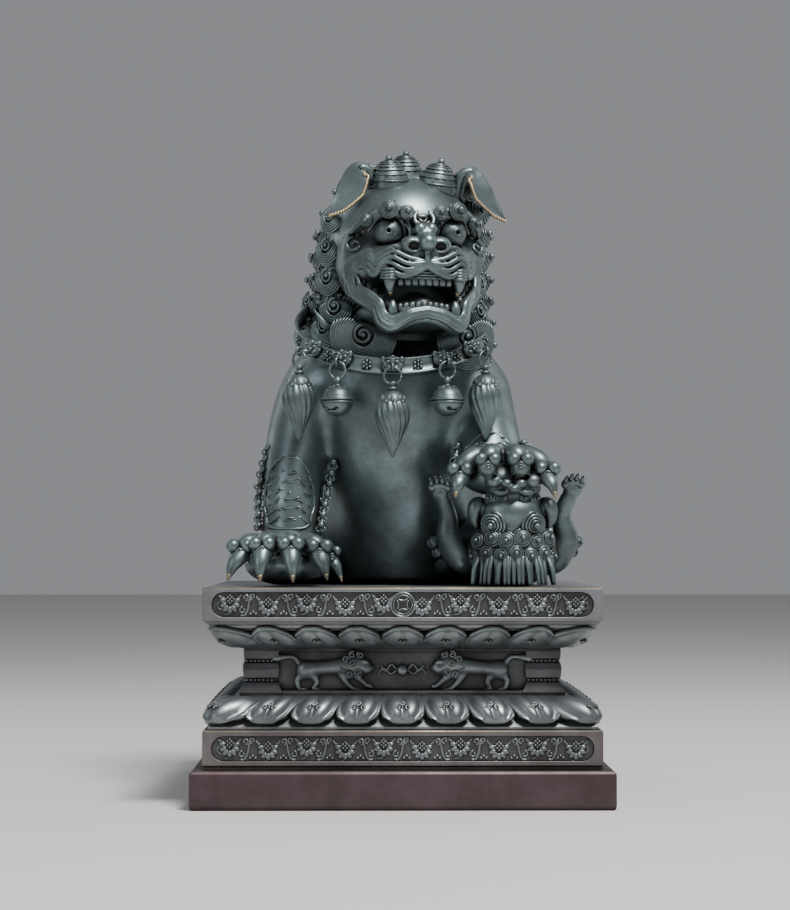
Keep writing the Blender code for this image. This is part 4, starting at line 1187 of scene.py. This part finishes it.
head.rope([(-8, -48.6, 15, 3.2), (0, -50, 14.6, 3.4), (8, -48.6, 15, 3.2)], 1.5)
head.ball((0, -66, -2.0), (5.8, 6.2, 5.8), blend=0.5)

UPPER_TOP = ((2, -12), (10, -8), (20, -4), (28, -8.5), (34, -5), (40, -10))
UPPER_EDGE = ((0, -17.3), (14.5, -23), (25, -17.5), (31, -21.3), (36, -15), (42, -16))
LOWER_OUT = ((0, -47.8), (11, -50.5), (21.5, -56.2), (28, -52), (30, -46), (31.2, -41.5), (36.5, -37.5),
             (42.5, -31), (43.5, -23), (42.5, -17))
LOWER_IN = ((0, -42.5), (10, -44.5), (20, -48.5), (24.5, -46.5), (26, -43), (27, -39), (31, -34),
            (37, -28), (38.5, -21.5), (40, -17))


def lip(first, last, count, radius, swell, drop):
    """Ridges that follow a lip, between its two edges."""
    for k in range(count):
        t = k / (count - 1)
        line = spline(np.array(first) * (1 - t) + np.array(last) * t, 4)
        depth = lip_depth(line[:, 0]) - swell * sin(pi * t) + drop * (1 - t)
        thick = radius * tapered(len(line), [0, 0.12, 0.8, 1], [0.75, 1, 1, 0.7])
        for side in (-1, 1):
            head.rope(np.column_stack([side * line[:, 0], depth, line[:, 1], thick]), 0.12, steps=1)


for line in (np.array(UPPER_TOP), np.array(LOWER_IN)):
    middle = spline(line, 3)
    for side in (-1, 1):
        backing = np.column_stack([side * middle[:, 0], lip_depth(middle[:, 0]) + 6.2,
                                   middle[:, 1] - 4.5, np.full(len(middle), 5.2)])
        head.rope(backing, 1.5, steps=1)
lip(UPPER_TOP, UPPER_EDGE, 5, 1.62, 2.6, 2.2)
lip(UPPER_EDGE, UPPER_EDGE, 2, 2.1, 0.0, 0.0)
lip(LOWER_IN, LOWER_OUT, 4, 1.6, 1.6, -0.5)
head.rope([(0, -64, -6, 2.2), (0, -66, -12, 1.8), (0, -66, -17, 1.6)], 0.8)

head_build(head.heap(), "head_skin", BRONZE, replaces=("skull", "lower_jaw"))


def on_head(rows, lift=0.0, direction=(0, 1, 0), back=110):
    """Drops (x, z) rows on the face and lifts them along the normal."""
    made = []
    for x, z in rows:
        point = head.hit((x, -back, z), direction, 150)
        if point is not None:
            made.append(point + lift * head.normal(point, 1.5))
    return np.array(made)


# Eyes: a ball with a sunken pupil inside a raised ring.
EYE = (20.5, -46.8, 6.4)
EYE_PROFILE = (
    (0.05, 6.4), (1.0, 6.5), (1.3, 9.2), (1.7, 9.7), (2.6, 9.6), (2.9, 9.0), (4.6, 8.4),
    (6.8, 6.7), (8.5, 4.0), (9.5, 0.4), (9.0, -3.4), (6.5, -7.0), (0.05, -9.4),
)
for name, side in (("right_eye", -1), ("left_eye", 1)):
    eye = Heap()
    turned_into(eye, EYE_PROFILE, 32)
    placed = Heap()
    placed.add_heap(eye, basis((side * 0.22, -1, -0.02)), (side * EYE[0], *EYE[1:]))
    head_build(placed, f"{name}_skin", BRONZE_FINE, replaces=(name,))

# Brow scrolls, nose bridge bar and cheek scrolls.
face = Heap()
for side in (-1, 1):
    for x, z, radius in ((22.4, 19.4, 6.2), (11.2, 17.8, 5.0), (34.6, 14.0, 4.2)):
        spot = on_head([(side * x, z)], 1.2)[0]
        outward = unit(head.normal(spot, 4.0) + (0, -0.5, 0.1))
        snail(face, spot, outward, radius, 3.0, side, 4.2, pi / 2 + side * 0.6, 0.085, 0.34, 2.2)
    tube_into(face, on_head(spline([(side * 36, 13), (side * 40, 9), (side * 43, 3)], 4), 0.5),
              np.linspace(2.2, 1.0, 9), 8)
    tube_into(face, [(side * 7.0, -53.0, 15.2), (side * 3.6, -54.4, 12.2), (0, -55.0, 10.4)], 0.95, 7)
    tube_into(face, [(side * 3.2, -53.6, 15.4), (side * 1.2, -54.6, 12.8), (0, -55.0, 11.4)], 0.75, 7)
    curl = spiral(5.2, 1.25, pi / 2, -side, 20, 0.18)
    rows = on_head(np.column_stack([side * 39.5 + curl[:, 0], -1 + curl[:, 1]]), 0.6)
    if len(rows) > 4:
        tube_into(face, rows, 1.3, 7)
tube_into(face, [(-7.6, -52.2, 16.2), (0, -53.6, 16.0), (7.6, -52.2, 16.2)], 1.15, 8)
head_build(face, "face_scrolls", BRONZE_FINE)

# Teeth and tongue.
teeth, fang_tips = Heap(), Heap()
for x in np.linspace(-15.4, 15.4, 8):
    y = float(lip_depth(x)) + 5.0
    tooth = [(x, y, -20), (x, y - 1.0, -24), (x, y - 0.9, -27.4), (x, y - 0.4, -28.4)]
    tube_into(teeth, tooth, [2.2, 2.3, 2.25, 1.9], 10, flat=0.7, up=(0, -1, 0))
for k in range(4):
    gum = [(x, float(lip_depth(x)) + 2.6 + 0.3 * k, -18.4 - 1.75 * k) for x in np.linspace(-17, 17, 13)]
    tube_into(teeth, gum, 1.15, 7)
for x in np.linspace(-15, 15, 9):
    y = -57.5 + 0.011 * x * x
    rise = 1.4 * (1 - (x / 16) ** 2)
    tooth = [(x, y, -47), (x, y - 0.6, -43), (x, y - 0.6, -40.6 + rise), (x, y - 0.4, -39.9 + rise)]
    tube_into(teeth, tooth, [1.9, 1.95, 1.9, 1.5], 10, flat=0.7, up=(0, -1, 0))
for side in (-1, 1):
    y = float(lip_depth(22)) + 2.5
    fang = spline([(side * 21, y + 1, -19), (side * 22.4, y - 1.4, -25), (side * 22.2, y - 1.0, -30.5),
                   (side * 21.2, y + 1.0, -34.6)], 5)
    size = tapered(len(fang), [0, 0.35, 0.75, 1], [4.2, 4.1, 1.9, 0.4])
    tube_into(teeth, fang, size, 12)
    tube_into(fang_tips, fang[12:], size[12:] * 1.05 + 0.04, 12)
    for k in range(4):
        z = -18.6 - 1.8 * k
        gum = [(side * x, y + back, z + lift) for x, back, lift in
               ((16.8, 0.6, 0.4), (19, -4.0, 0), (22.4, -5.6, -0.4), (25.6, -3.6, 0), (27.4, 0.8, 0.4))]
        tube_into(teeth, spline(gum, 4), 1.15, 7)
    lower = spline([(side * 20, y + 2, -50), (side * 20.4, y - 0.5, -45), (side * 20.2, y, -39.5),
                    (side * 20.0, y + 1, -37.8)], 4)
    tube_into(teeth, lower, tapered(len(lower), [0, 0.5, 1], [3.4, 2.9, 0.9]), 10)
    for k in range(5):
        t = k / 4
        spot = np.array((side * (34.5 - 12.0 * t), -36 - 15 * t, -25.0 - 15.0 * t))
        ball_into(teeth, spot, (2.4, 2.8, 2.8), segments=9, rings=6)
        tube_into(teeth, [spot + (-side * 2, -0.5, 2.2), spot + (side * 1.5, -0.5, 2.4)], 0.8, 6)
head_build(teeth, "teeth", BRONZE_FINE)
head_build(fang_tips, "fang_tips", BARE_EDGE)

tongue = Clay((-24, -64, -48), (24, -4, -24), 0.7)
tongue.rope([(0, -10, -38, 6), (0, -30, -37, 7.5), (0, -46, -39, 6.5), (0, -54, -41, 4.5)])
tongue.ball((0, -34, -38.5), (17, 23, 4.6), blend=4)
tongue.rope([(0, -14, -31.5, 0.9), (0, -34, -31.2, 1.0), (0, -52, -35, 0.8)], 1.2, carve=True)
head_build(tongue.heap(), "tongue_skin", BRONZE_DARK, replaces=("tongue",), slot="dark_recess_bronze")

# Ears: a ribbed stalk that spreads into a drooping leaf, folded back behind its serrated front rim.
EAR_SHIFT = np.array((4.5, 0, 0))  # both ears lie a little to the lion's left
EAR_COLUMNS = 17
STALK_STEPS = 20
rims = Heap()
for name, side in (("right_ear", -1), ("left_ear", 1)):
    spine = spline([(26, -14, 34), (28, -17, 42), (31, -20, 48.5), (36.5, -22, 50.5), (41, -24, 45.5),
                    (44.5, -25, 38), (50.0, -24, 29),
                    (59.0, -21, 18.5)], 6)
    share = np.linspace(0, 1, len(spine))
    wide = np.interp(share, [0, 0.2, 0.36, 0.52, 0.75, 0.92, 1], [5.0, 3.9, 4.2, 7.6, 9.2, 4.8, 0.4])
    along = np.gradient(spine, axis=0)
    across = np.cross(along, (0, -1, 0))
    across /= np.linalg.norm(across, axis=1)[:, None]
    u = np.linspace(-1, 1, EAR_COLUMNS)[None, :, None]
    fold = np.interp(share, [0, 0.3, 0.55, 0.8, 1], [3.0, 5.0, 12.0, 9.0, 1.0])[:, None, None]
    back = np.array((0, 1, 0)) * fold * ((1 - u) / 2) ** 2
    rib = np.interp(share, [0.05, 0.12, 0.36, 0.44], [0, 1, 1, 0])[:, None, None] * 0.35
    sheet = spine[:, None] + across[:, None] * wide[:, None, None] * (0.15 + 0.85 * u) + back
    sheet = sheet + np.array((0, -1, 0)) * (2.0 * u**2 + rib * np.sin(share * 90)[:, None, None])
    sheet[..., 0] *= side
    sheet = sheet + EAR_SHIFT
    heap = Heap()
    faces = grid_faces(len(spine), EAR_COLUMNS)
    heap.add(sheet.reshape(-1, 3), faces if side > 0 else faces[:, ::-1])
    ear = head_build(heap, f"{name}_skin", BRONZE_FINE, replaces=(name,))
    thick = ear.modifiers.new("leaf", "SOLIDIFY")
    thick.thickness = 1.8 * MM
    thick.offset = 0
    root = Heap()
    stalk = spine[:STALK_STEPS].copy()
    stalk[:, 0] *= side
    stalk += EAR_SHIFT
    rings = 1 + 0.06 * np.sin(np.arange(STALK_STEPS) * 3.0)
    tube_into(root, stalk + (0, 2.2, 0), tapered(STALK_STEPS, [0, 0.5, 1], [5.4, 4.2, 2.2]) * rings, 14)
    head_build(root, f"{name}_stalk", BRONZE_FINE)
    line = spline(sheet[15:, -1], 3)
    tube_into(rims, line + (0, -0.3, 0), 1.1, 6)
    for spot in line[::2]:
        ball_into(rims, spot + (0, -0.8, 0), 1.2, segments=7, rings=5)
head_build(rims, "ear_rims", BARE_EDGE)


# ---------------------------------------------------------------- mane
MANE_ROWS = 8
# Sections are (z, centre x, centre y, half width, half depth), bottom to top.
MANE = (
    (283, -3, -6, 56, 54), (300, -2, -8, 54, 54), (315, -1, -9, 52, 52), (332, -1, -9, 51, 51),
    (355, 1, -12, 50, 50), (380, 4, -18, 45, 46),
    (396, 6, -26, 36, 36), (405, 6, -30, 24, 25),
)
mane = Clay((-70, -70, 276), (74, 62, 424), 1.2)
mane.loft(MANE, cap=12)
curls = Heap()
for row in range(MANE_ROWS):
    z = 292 + row * 14.2
    cx, cy, rx, ry = (np.interp(z, [s[0] for s in MANE], [s[k] for s in MANE]) for k in (1, 2, 3, 4))
    around = pi * (rx + ry)
    count = max(9, round(around / 17.5))
    for k in range(count):
        angle = 2 * pi * (k + 0.5 * (row % 2)) / count
        spot = np.array((cx + rx * sin(angle), cy - ry * cos(angle), z))
        local = HEAD_AXES.T @ (spot - HEAD)
        if local[1] < -2 - 0.22 * max(0,
                                      local[2]) and local[2] > -38 or local[1] < 0 and local[2] <= -38:
            continue
        outward = unit((sin(angle) / rx, -cos(angle) / ry, 0.0042 + 0.00035 * (row - 3)))
        size = 10.6 - 0.25 * abs(row - 3.5)
        snail(curls, spot, outward, size, 9.5, 1 if sin(angle) > 0 else -1, 5.6, angle + row, 0.072,
              0.21, 1.9)
# Buns on the crown: (x, y, z) in the head's frame, radius, height.
BUNS = (
    (1, -1, 46, 13, 16), (-12.5, -17, 40.0, 13.5, 16.0), (18.5, -16, 39.5, 13.5, 16.0),
    (-17, 8, 43, 12, 13), (21, 8, 42, 12, 13), (-30, 4, 34, 11, 11), (33, 4, 34, 11, 11),
    (0, 24, 42, 12, 12), (-18, 28, 36, 12, 11), (18, 28, 36, 12, 11),
)
for x, y, z, radius, tall in BUNS:
    spot = HEAD + HEAD_AXES @ (x, y, z)
    outward = HEAD_AXES @ unit((x * 0.008, -0.22 if y < 5 else 0.3, 1))
    snail(curls, spot, outward, radius, tall, 1 if x >= 0 else -1, 8.5, 0.7 * x, 0.052, 0.18, 3.2)
mane.heap().build("mane_skin", BRONZE, replaces=("mane",))
curls.build("mane_curls", BRONZE_FINE)


def lock(heap, centre, outward, radius, hook, side, strands=7, first=pi, last=1.9 * pi):
    """A curl with a bead at its middle, under nested strands that sweep below it."""
    turn = basis(outward)
    flat = spiral(hook, 1.3, pi / 2, -side, 22, 0.30)
    tube_into(heap, level(flat, 2.0) @ turn.T + centre, hook * 0.22, 8)
    ball_into(heap, np.array(centre) + turn @ (0, 0, 2.6), hook * 0.32, segments=12, rings=8)
    for strand in range(strands):
        reach = radius - (radius - hook) * strand / strands
        angle = np.linspace(first - 0.10 * strand, last + 0.03 * strand, 16)
        sag = 1 + 0.10 * np.sin(np.linspace(0, pi, 16))
        flat = np.column_stack([side * reach * -np.cos(angle), reach * np.sin(angle) * sag])
        rows = level(flat, 2.6 * (1 - (reach / radius) ** 3))
        thick = tapered(16, [0, 0.25, 0.8, 1], [0.35, 1.0, 1.0, 0.5]) * radius * 0.085
        tube_into(heap, rows @ turn.T + centre, thick, 7)
    ball_into(heap, np.array(centre) - turn @ (0, 0.30 * radius, 4.6),
              (radius * 0.88, radius * 0.72, 5.6), turn, 24, 12)


beard = Heap()
for side in (-1, 1):
    lock(beard, (side * 33.5, -33, -57.5), (side * 0.30, -1, -0.10), 20.5, 6.6, side, 9, 0.86 * pi,
         1.98 * pi)
    lock(beard, (side * 52.0, -4, -50), (side * 1.0, -0.7, 0.0), 12.5, 4.6, side, 6)
    lock(beard, (side * 47, -13, -38), (side * 0.9, -1, 0.0), 12.0, 5.0, side, 5)
    lock(beard, (side * 50.0, -5, -18), (side * 1.0, -0.75, 0.0), 11.0, 4.6, side, 5)
    lock(beard, (side * 50.0, -3, 2), (side * 1.0, -0.75, 0.1), 10.5, 4.4, side, 5)
    lock(beard, (side * 47.5, -4, 21), (side * 1.0, -0.7, 0.3), 10.0, 4.2, side, 5)
for x, y in ((-57, 27), (51, 6)):
    lock(beard, (x, y, -45), (np.sign(x), -0.3, 0.1), 13.0, 4.8, np.sign(x), 6)
    lock(beard, (0.96 * x, y + 4, -30), (np.sign(x), -0.3, 0.1), 11.0, 4.4, np.sign(x), 5)
leaf = spline([(-50, -12, -52), (-54, -14, -51), (-58, -14, -46), (-61.5, -12, -40)], 5)
tube_into(beard, leaf, tapered(len(leaf), [0, 0.5, 1], [3.6, 3.4, 0.4]), 9, flat=0.5)
head_build(beard, "beard_locks", BRONZE_FINE)


# ---------------------------------------------------------------- collar
COLLAR = np.array((-6.0, -34.0))
COLLAR_RADII = np.array((68.0, 62.0))
COLLAR_FRONT = 273.5
COLLAR_SLOPE = 0.60


def collar_at(angle, out=0.0, rise=0.0):
    """Point on the collar at an angle from the front, and the way outward. Its back tucks in."""
    outward = unit((sin(angle) / COLLAR_RADII[0], -cos(angle) / COLLAR_RADII[1], 0))
    behind = abs((angle + pi) % (2 * pi) - pi)
    tuck = 1 - 0.20 * np.clip((behind - 0.95) / 0.65, 0, 1) ** 1.5
    x = COLLAR[0] + tuck * COLLAR_RADII[0] * sin(angle)
    y = COLLAR[1] - tuck * COLLAR_RADII[1] * cos(angle)
    z = COLLAR_FRONT + COLLAR_SLOPE * (y - COLLAR[1] + COLLAR_RADII[1])
    return np.array((x, y, z + rise)) + out * outward, outward


band = Heap()
section = [(0.3, -5.2), (2.9, -5.2), (3.3, -4.4), (2.6, -3.6), (2.0, -3.2), (2.0, 3.4), (2.5, 3.9),
           (2.7, 4.6), (2.3, 5.2), (0.3, 5.2)]
BAND_STEPS = 144
points = [collar_at(a, out, rise)[0] for a in ring_angles(BAND_STEPS) for out, rise in section]
band.add(points, grid_faces(BAND_STEPS, len(section), wrap_columns=True, wrap_rows=True))
pendant_angles = {}
for joint in frame["joints"]:
    if joint["name"].endswith("_swing"):
        across, ahead = (hinge_mm(joint["name"])[:2] - COLLAR) / COLLAR_RADII
        pendant_angles[joint["name"].removesuffix("_swing")] = atan2(across, -ahead)


def rosette(heap, point, outward, radius):
    """A small flower of six petals on the collar."""
    turn = basis(outward)
    for k in range(6):
        a = pi / 3 * k + pi / 6
        offset = np.array((cos(a), sin(a), 0.15)) * radius * 0.62
        petal = turn @ np.array([[cos(a), -sin(a), 0], [sin(a), cos(a), 0], [0, 0, 1]])
        ball_into(heap, point + turn @ offset, (radius * 0.36, radius * 0.28, radius * 0.26), petal, 8,
                  6)
    ball_into(heap, point + turn @ (0, 0, 0.35 * radius), radius * 0.24, segments=8, rings=6)


taken = sorted(pendant_angles.values())
spaces = [(a + b) / 2 for a, b in zip(taken, taken[1:])] + [taken[0] - 0.26, taken[-1] + 0.26]
for angle in [*spaces, *np.arange(1.4, 2 * pi - 1.35, 0.30)]:
    point, outward = collar_at(angle, 2.0, 0)
    rosette(band, point, outward, 3.7)
band.build("collar_skin", BRONZE_FINE, replaces=("collar_band",))


def mask(heap, seat, hinge, outward):
    """A small beast's face on the collar, with an arm out to the eye that holds a ring."""
    turn = basis(outward)

    def ball(x, up, out, radii, segments=12):
        ball_into(heap, seat + turn @ (x, up, out), radii, turn, segments, 8)

    ball(0, 1.2, 0.6, (6.8, 5.4, 2.6), 20)
    for side in (-1, 1):
        ball(side * 2.7, 2.5, 2.6, (1.5, 1.4, 1.2))
        ball(side * 5.8, 4.0, 1.4, (1.7, 2.2, 1.2))
        ball(side * 2.2, -0.8, 2.7, (1.9, 1.3, 1.3))
        brow = spline([(side * 0.6, 3.6, 2.4), (side * 2.6, 4.8, 2.7), (side * 5.0, 4.2, 2.0)], 4)
        tube_into(heap, brow @ turn.T + seat, 0.7, 6)
        rows = level(spiral(1.9, 1.0, 0, side, 12, 0.4) + (side * 4.6, -0.6), 1.9)
        tube_into(heap, rows @ turn.T + seat, 0.5, 6)
    ball(0, 0.9, 3.3, (1.4, 1.7, 1.3))
    ball(0, 5.6, 1.6, (1.6, 1.5, 1.2))
    tube_into(heap, [seat + turn @ (0, -0.6, 1.5), hinge - outward * 2.2], 1.25, 10)
    angle = np.linspace(0, 2 * pi, 17)
    eye = np.column_stack([np.zeros(17), 2.4 * np.cos(angle), 2.4 * np.sin(angle)])
    tube_into(heap, eye @ turn.T + hinge, 0.8, 8)


def ring(name, eye, outward):
    """The ring that a pendant hangs by, through the middle of its mask's eye."""
    turn = basis(outward)
    angle = np.linspace(0, 2 * pi, 37)
    rows = np.column_stack([5.4 * np.cos(angle), 5.4 * np.sin(angle) - 5.4, np.zeros(37)])
    heap = Heap()
    tube_into(heap, rows @ turn.T + eye, 0.8, 10)
    heap.build(f"{name}_ring_skin", BRONZE_FINE, body=name, replaces=(f"{name}_ring",))


def closed_turned(heap, profile, segments, centre):
    """A hollow body turned about Z whose profile closes on itself."""
    points = [(r * cos(a), r * sin(a), z) for r, z in profile for a in ring_angles(segments)]
    faces = grid_faces(len(profile), segments, wrap_columns=True, wrap_rows=True)
    heap.add(np.array(points) + centre, faces[:, ::-1])


def tassel(name, eye):
    """A fluted drop under a scalloped cap edged with beads."""
    top = eye + (0, 0, -9.2)
    heap = Heap()
    flutes = 15
    cap = [(0.6, 0.6), (2.0, 0.2), (2.6, -0.9), (2.0, -2.1), (1.5, -2.8), (3.0, -3.6), (3.2, -4.6),
           (2.4, -5.3), (4.4, -6.2), (6.6, -8.0),
           (7.9, -10.4), (8.4, -12.6), (7.0, -13.0), (0.5, -13.0)]
    turned_into(heap, spline(cap, 2), 36, top)
    drop = spline([(6.6, -11.0), (8.6, -13.0), (10.1, -17.0), (10.5, -20.5), (9.8, -25.0), (8.0, -30.0),
                   (5.6, -35.5), (3.2, -41.0),
                   (1.5, -45.5), (0.3, -47.4)], 3)
    turned_into(heap, drop, flutes * 6, top, lambda z,
                a: 0.94 + 0.12 * np.abs(np.sin((a + 0.022 * (z + 12)) * flutes / 2)))
    for k in range(9):
        a = 2 * pi * k / 9
        ball_into(heap, top + (8.1 * cos(a), 8.1 * sin(a), -12.8), 1.25, segments=9, rings=6)
        scallop = [(6.0 * cos(a + d) * w, 6.0 * sin(a + d) * w, z) for d, w, z in
                   ((-0.33, 1.32, -12.0), (-0.20, 1.22, -9.6), (0, 1.05, -8.2), (0.20, 1.22, -9.6),
                    (0.33, 1.32, -12.0))]
        tube_into(heap, spline(scallop, 3) + top, 0.65, 6)
    heap.build(f"{name}_skin", BRONZE_FINE, body=name, replaces=(name,))


def bell(name, eye):
    """A round harness bell in two shells, with a double bead at the seam and a loose pellet inside."""
    middle = eye + (0, 0, -24.7)
    arc = [(10.0 * cos(a), 10.0 * sin(a)) for a in np.linspace(0.06, 1.35, 14)]
    inner = [(9.0 * cos(a), 9.0 * sin(a)) for a in np.linspace(1.35, 0.06, 14)]
    neck = [(1.9, 10.0), (1.4, 11.2), (2.4, 12.0), (2.5, 13.2), (1.6, 14.2), (1.0, 15.4), (0.4, 15.6),
            (0.4, 9.2)]
    collar_rows = [(10.7, 0.30), (11.0, 0.85), (10.6, 1.5), (9.98, 1.8)]
    up = [(9.0, 0.30), *collar_rows, *arc[2:], *neck, *inner]
    upper = Heap()
    closed_turned(upper, up[::-1], 40, middle)
    for k in range(5):
        a = 2 * pi * k / 5
        petal = [(5.6 * cos(a + d) * w, 5.6 * sin(a + d) * w, z) for d, w, z in
                 ((-0.6, 0.75, 9.3), (-0.3, 1.05, 8.1), (0, 1.2, 7.4), (0.3, 1.05, 8.1),
                  (0.6, 0.75, 9.3))]
        tube_into(upper, spline(petal, 3) + middle, 0.45, 6)
    upper.build(f"{name}_upper_skin", BRONZE_FINE, body=name, replaces=(f"{name}_upper_shell",))
    lower = Heap()
    down = [(9.0, -0.30), (10.7, -0.30), (11.0, -0.85), (10.6, -1.5), (9.98, -1.8),
            *[(r, -z) for r, z in arc[2:]], (0.9, -9.9), (0.9, -9.0),
            *[(r, -z) for r, z in inner]]
    closed_turned(lower, down, 40, middle)
    shell = lower.build(f"{name}_lower_skin", BRONZE_FINE, body=name, replaces=(f"{name}_lower_shell",))
    outward = unit((*(eye[:2] - COLLAR), 0))
    side = np.cross((0, 0, 1), outward)
    slit = Heap()
    tube_into(slit, [middle + outward * 7.6 + side * x + np.array((0, 0, -5.5)) for x in (-3.6, 3.6)],
              0.75, 8)
    carve(shell, slit)
    for x in (-3.6, 3.6):
        drill = Heap()
        ball_into(drill, middle + outward * 8.0 + side * x + np.array((0, 0, -5.5)), 1.5, segments=12,
                  rings=8)
        carve(shell, drill)
    pellet = Heap()
    low, high = box_mm(f"{name}_pellet")
    ball_into(pellet, (low + high) / 2, (high - low) / 2, segments=24, rings=14)
    pellet.build(f"{name}_pellet_skin", BRONZE_DARK, body=f"{name}_pellet",
                 replaces=(f"{name}_pellet",), slot="dark_recess_bronze")


for name, angle in pendant_angles.items():
    eye = hinge_mm(f"{name}_swing")
    outward = collar_at(angle)[1]
    one = Heap()
    mask(one, collar_at(angle, 2.4)[0], eye, outward)
    one.build(f"{name}_mask_skin", BRONZE_FINE, replaces=(f"{name}_mask",))
    ring(name, eye, outward)
    if name.endswith("tassel"):
        tassel(name, eye)
    else:
        bell(name, eye)


# ---------------------------------------------------------------- cub
CUB_X = 69.5  # middle of the cub, which lies under the left paw
# For each arm: its side, x at five places from the shoulder to the wrist, and the hand's x and z.
ARMS = ((-1, (50, 38, 30, 29.5, 26), (24, 194)), (1, (88, 98, 104, 101, 105), (108, 196)))


def finger(side, hand, k, y, lift):
    """Place of one of a hand's four fingers."""
    return hand[0] + side * (-5 + 3.4 * k), y, hand[1] + lift + 1.6 * sin(pi * k / 3)


cub = Clay((8, -122, 133), (122, -14, 208), 0.85)
cub.ball((65, -52, 160), (32, 36, 23.5))
cub.ball((CUB_X, -84, 160), (26, 22, 27), blend=4)
cub.ball((CUB_X, -90, 181), (20.5, 18.5, 15), blend=3)
cub.ball((CUB_X, -93, 197), (18, 14.5, 11), blend=3)
for side, reach, hand in ARMS:
    cub.rope([(reach[0], -68, 150, 9), (reach[1], -76, 153, 9), (reach[2], -80, 165, 8),
              (reach[3], -82, 179, 5.8),
              (reach[4], -84, 190, 5.2)], 3)
    cub.ball((hand[0], -86, hand[1]), (6.0, 5.4, 5.6), blend=2)
    for k in range(4):
        cub.ball(finger(side, hand, k, -90, 3.5), (2.7, 3.2, 3.2), blend=0.8)
    ear = ((17, -90, 187, 3.0), (22.5, -93, 186, 5.2), (24, -93, 178, 4.0), (22.5, -94, 172, 1.0))
    cub.rope([(CUB_X + side * out, y, z, radius) for out, y, z, radius in ear], 1.0)
    cub.rope([(52 + side * 24, -30, 150, 9), (52 + side * 38, -34, 158, 8),
              (54 + side * 42, -40, 168, 6)], 3)
    cub.ball((CUB_X + side * 12.0, -103, 201), (6.0, 5.4, 4.8), blend=1.2)
    cub.ball((CUB_X + side * 4.6, -108.5, 199.5), (3.6, 3.4, 3.0), blend=1.0)
    cub.rope([(CUB_X + side * 3, -108, 195, 1.6), (CUB_X + side * 9, -106.5, 193.5, 1.9),
              (CUB_X + side * 15, -101, 196, 1.5)], 0.8)
cub.ball((CUB_X, -109, 196.0), (3.8, 4.0, 3.0), blend=1.0)
cub.cut_below(SLAB_TOP)
cub.heap().build("cub_skin", BRONZE, replaces=("cub_head", "cub_body"))

fur = Heap()


def on_cub(rows, lift=0.0):
    """Drops (x, z) rows on the front of the cub."""
    return on_body(rows, lift, -150.0, cub)


def swirl(x, z, radius, side, tall=3.0, turns=3.2):
    """A small curl seated on the cub's front."""
    spots = on_cub([(CUB_X + x, z)], 0.3)
    if len(spots):
        outward = unit(cub.normal(spots[0], 3.0) + (0, -0.4, 0))
        snail(fur, spots[0], outward, radius, tall, side, turns, pi / 2, 0.13, 0.27)


for side in (-1, 1):
    swirl(side * 12.6, 174.0, 8.6, side, 3.2, 4.2)
    swirl(side * 14.0, 190.5, 4.6, side, 1.8, 2.4)
    swirl(side * 6.6, 191.0, 3.2, side, 1.6, 2.0)
for z, columns, radius in ((164.5, (-21, -13, -4.5, 5.5, 14, 22), 5.9),
                           (155.5, (-23, -16, -7.5, 1.5, 10.5, 18.5, 24), 5.7)):
    for k, x in enumerate(columns):
        swirl(x, z + (0.9 if k % 2 else -0.9), radius, 1 if x > 0 else -1)
for x in np.linspace(-26, 26, 27):
    bow = sqrt(max(0.0, 1 - (x / 29) ** 2))
    bend = 2.4 * sin(0.9 * x) + 1.2 * sin(2.3 * x)
    rows = [(CUB_X + x * 0.94, -82 - 23 * bow, 154),
            (CUB_X + x + bend, -86 - 22 * bow, 146),
            (CUB_X + x * 1.06 + bend, -89 - 20 * bow, SLAB_TOP + 1.2)]
    tube_into(fur, spline(rows, 5), np.linspace(2.4, 1.1, 11), 7)
for side, _, hand in ARMS:
    for k in range(4):
        base = np.array(finger(side, hand, k, -92, 5.0))
        nail = spline([base, base + (side * 0.8, -1.5, 2.6), base + (side * 1.6, -4.0, 3.8)], 4)
        tube_into(fur, nail, np.linspace(1.7, 0.4, 9), 8)
    for k, z in enumerate((163, 157)):
        snail(fur, (hand[0] + side * (4.5 - 3 * k), -72, z), (side, -0.9, 0), 4.0, 2.6, side, 2.2, k,
              0.14, 0.28)
fur.build("cub_fur", BRONZE_FINE)
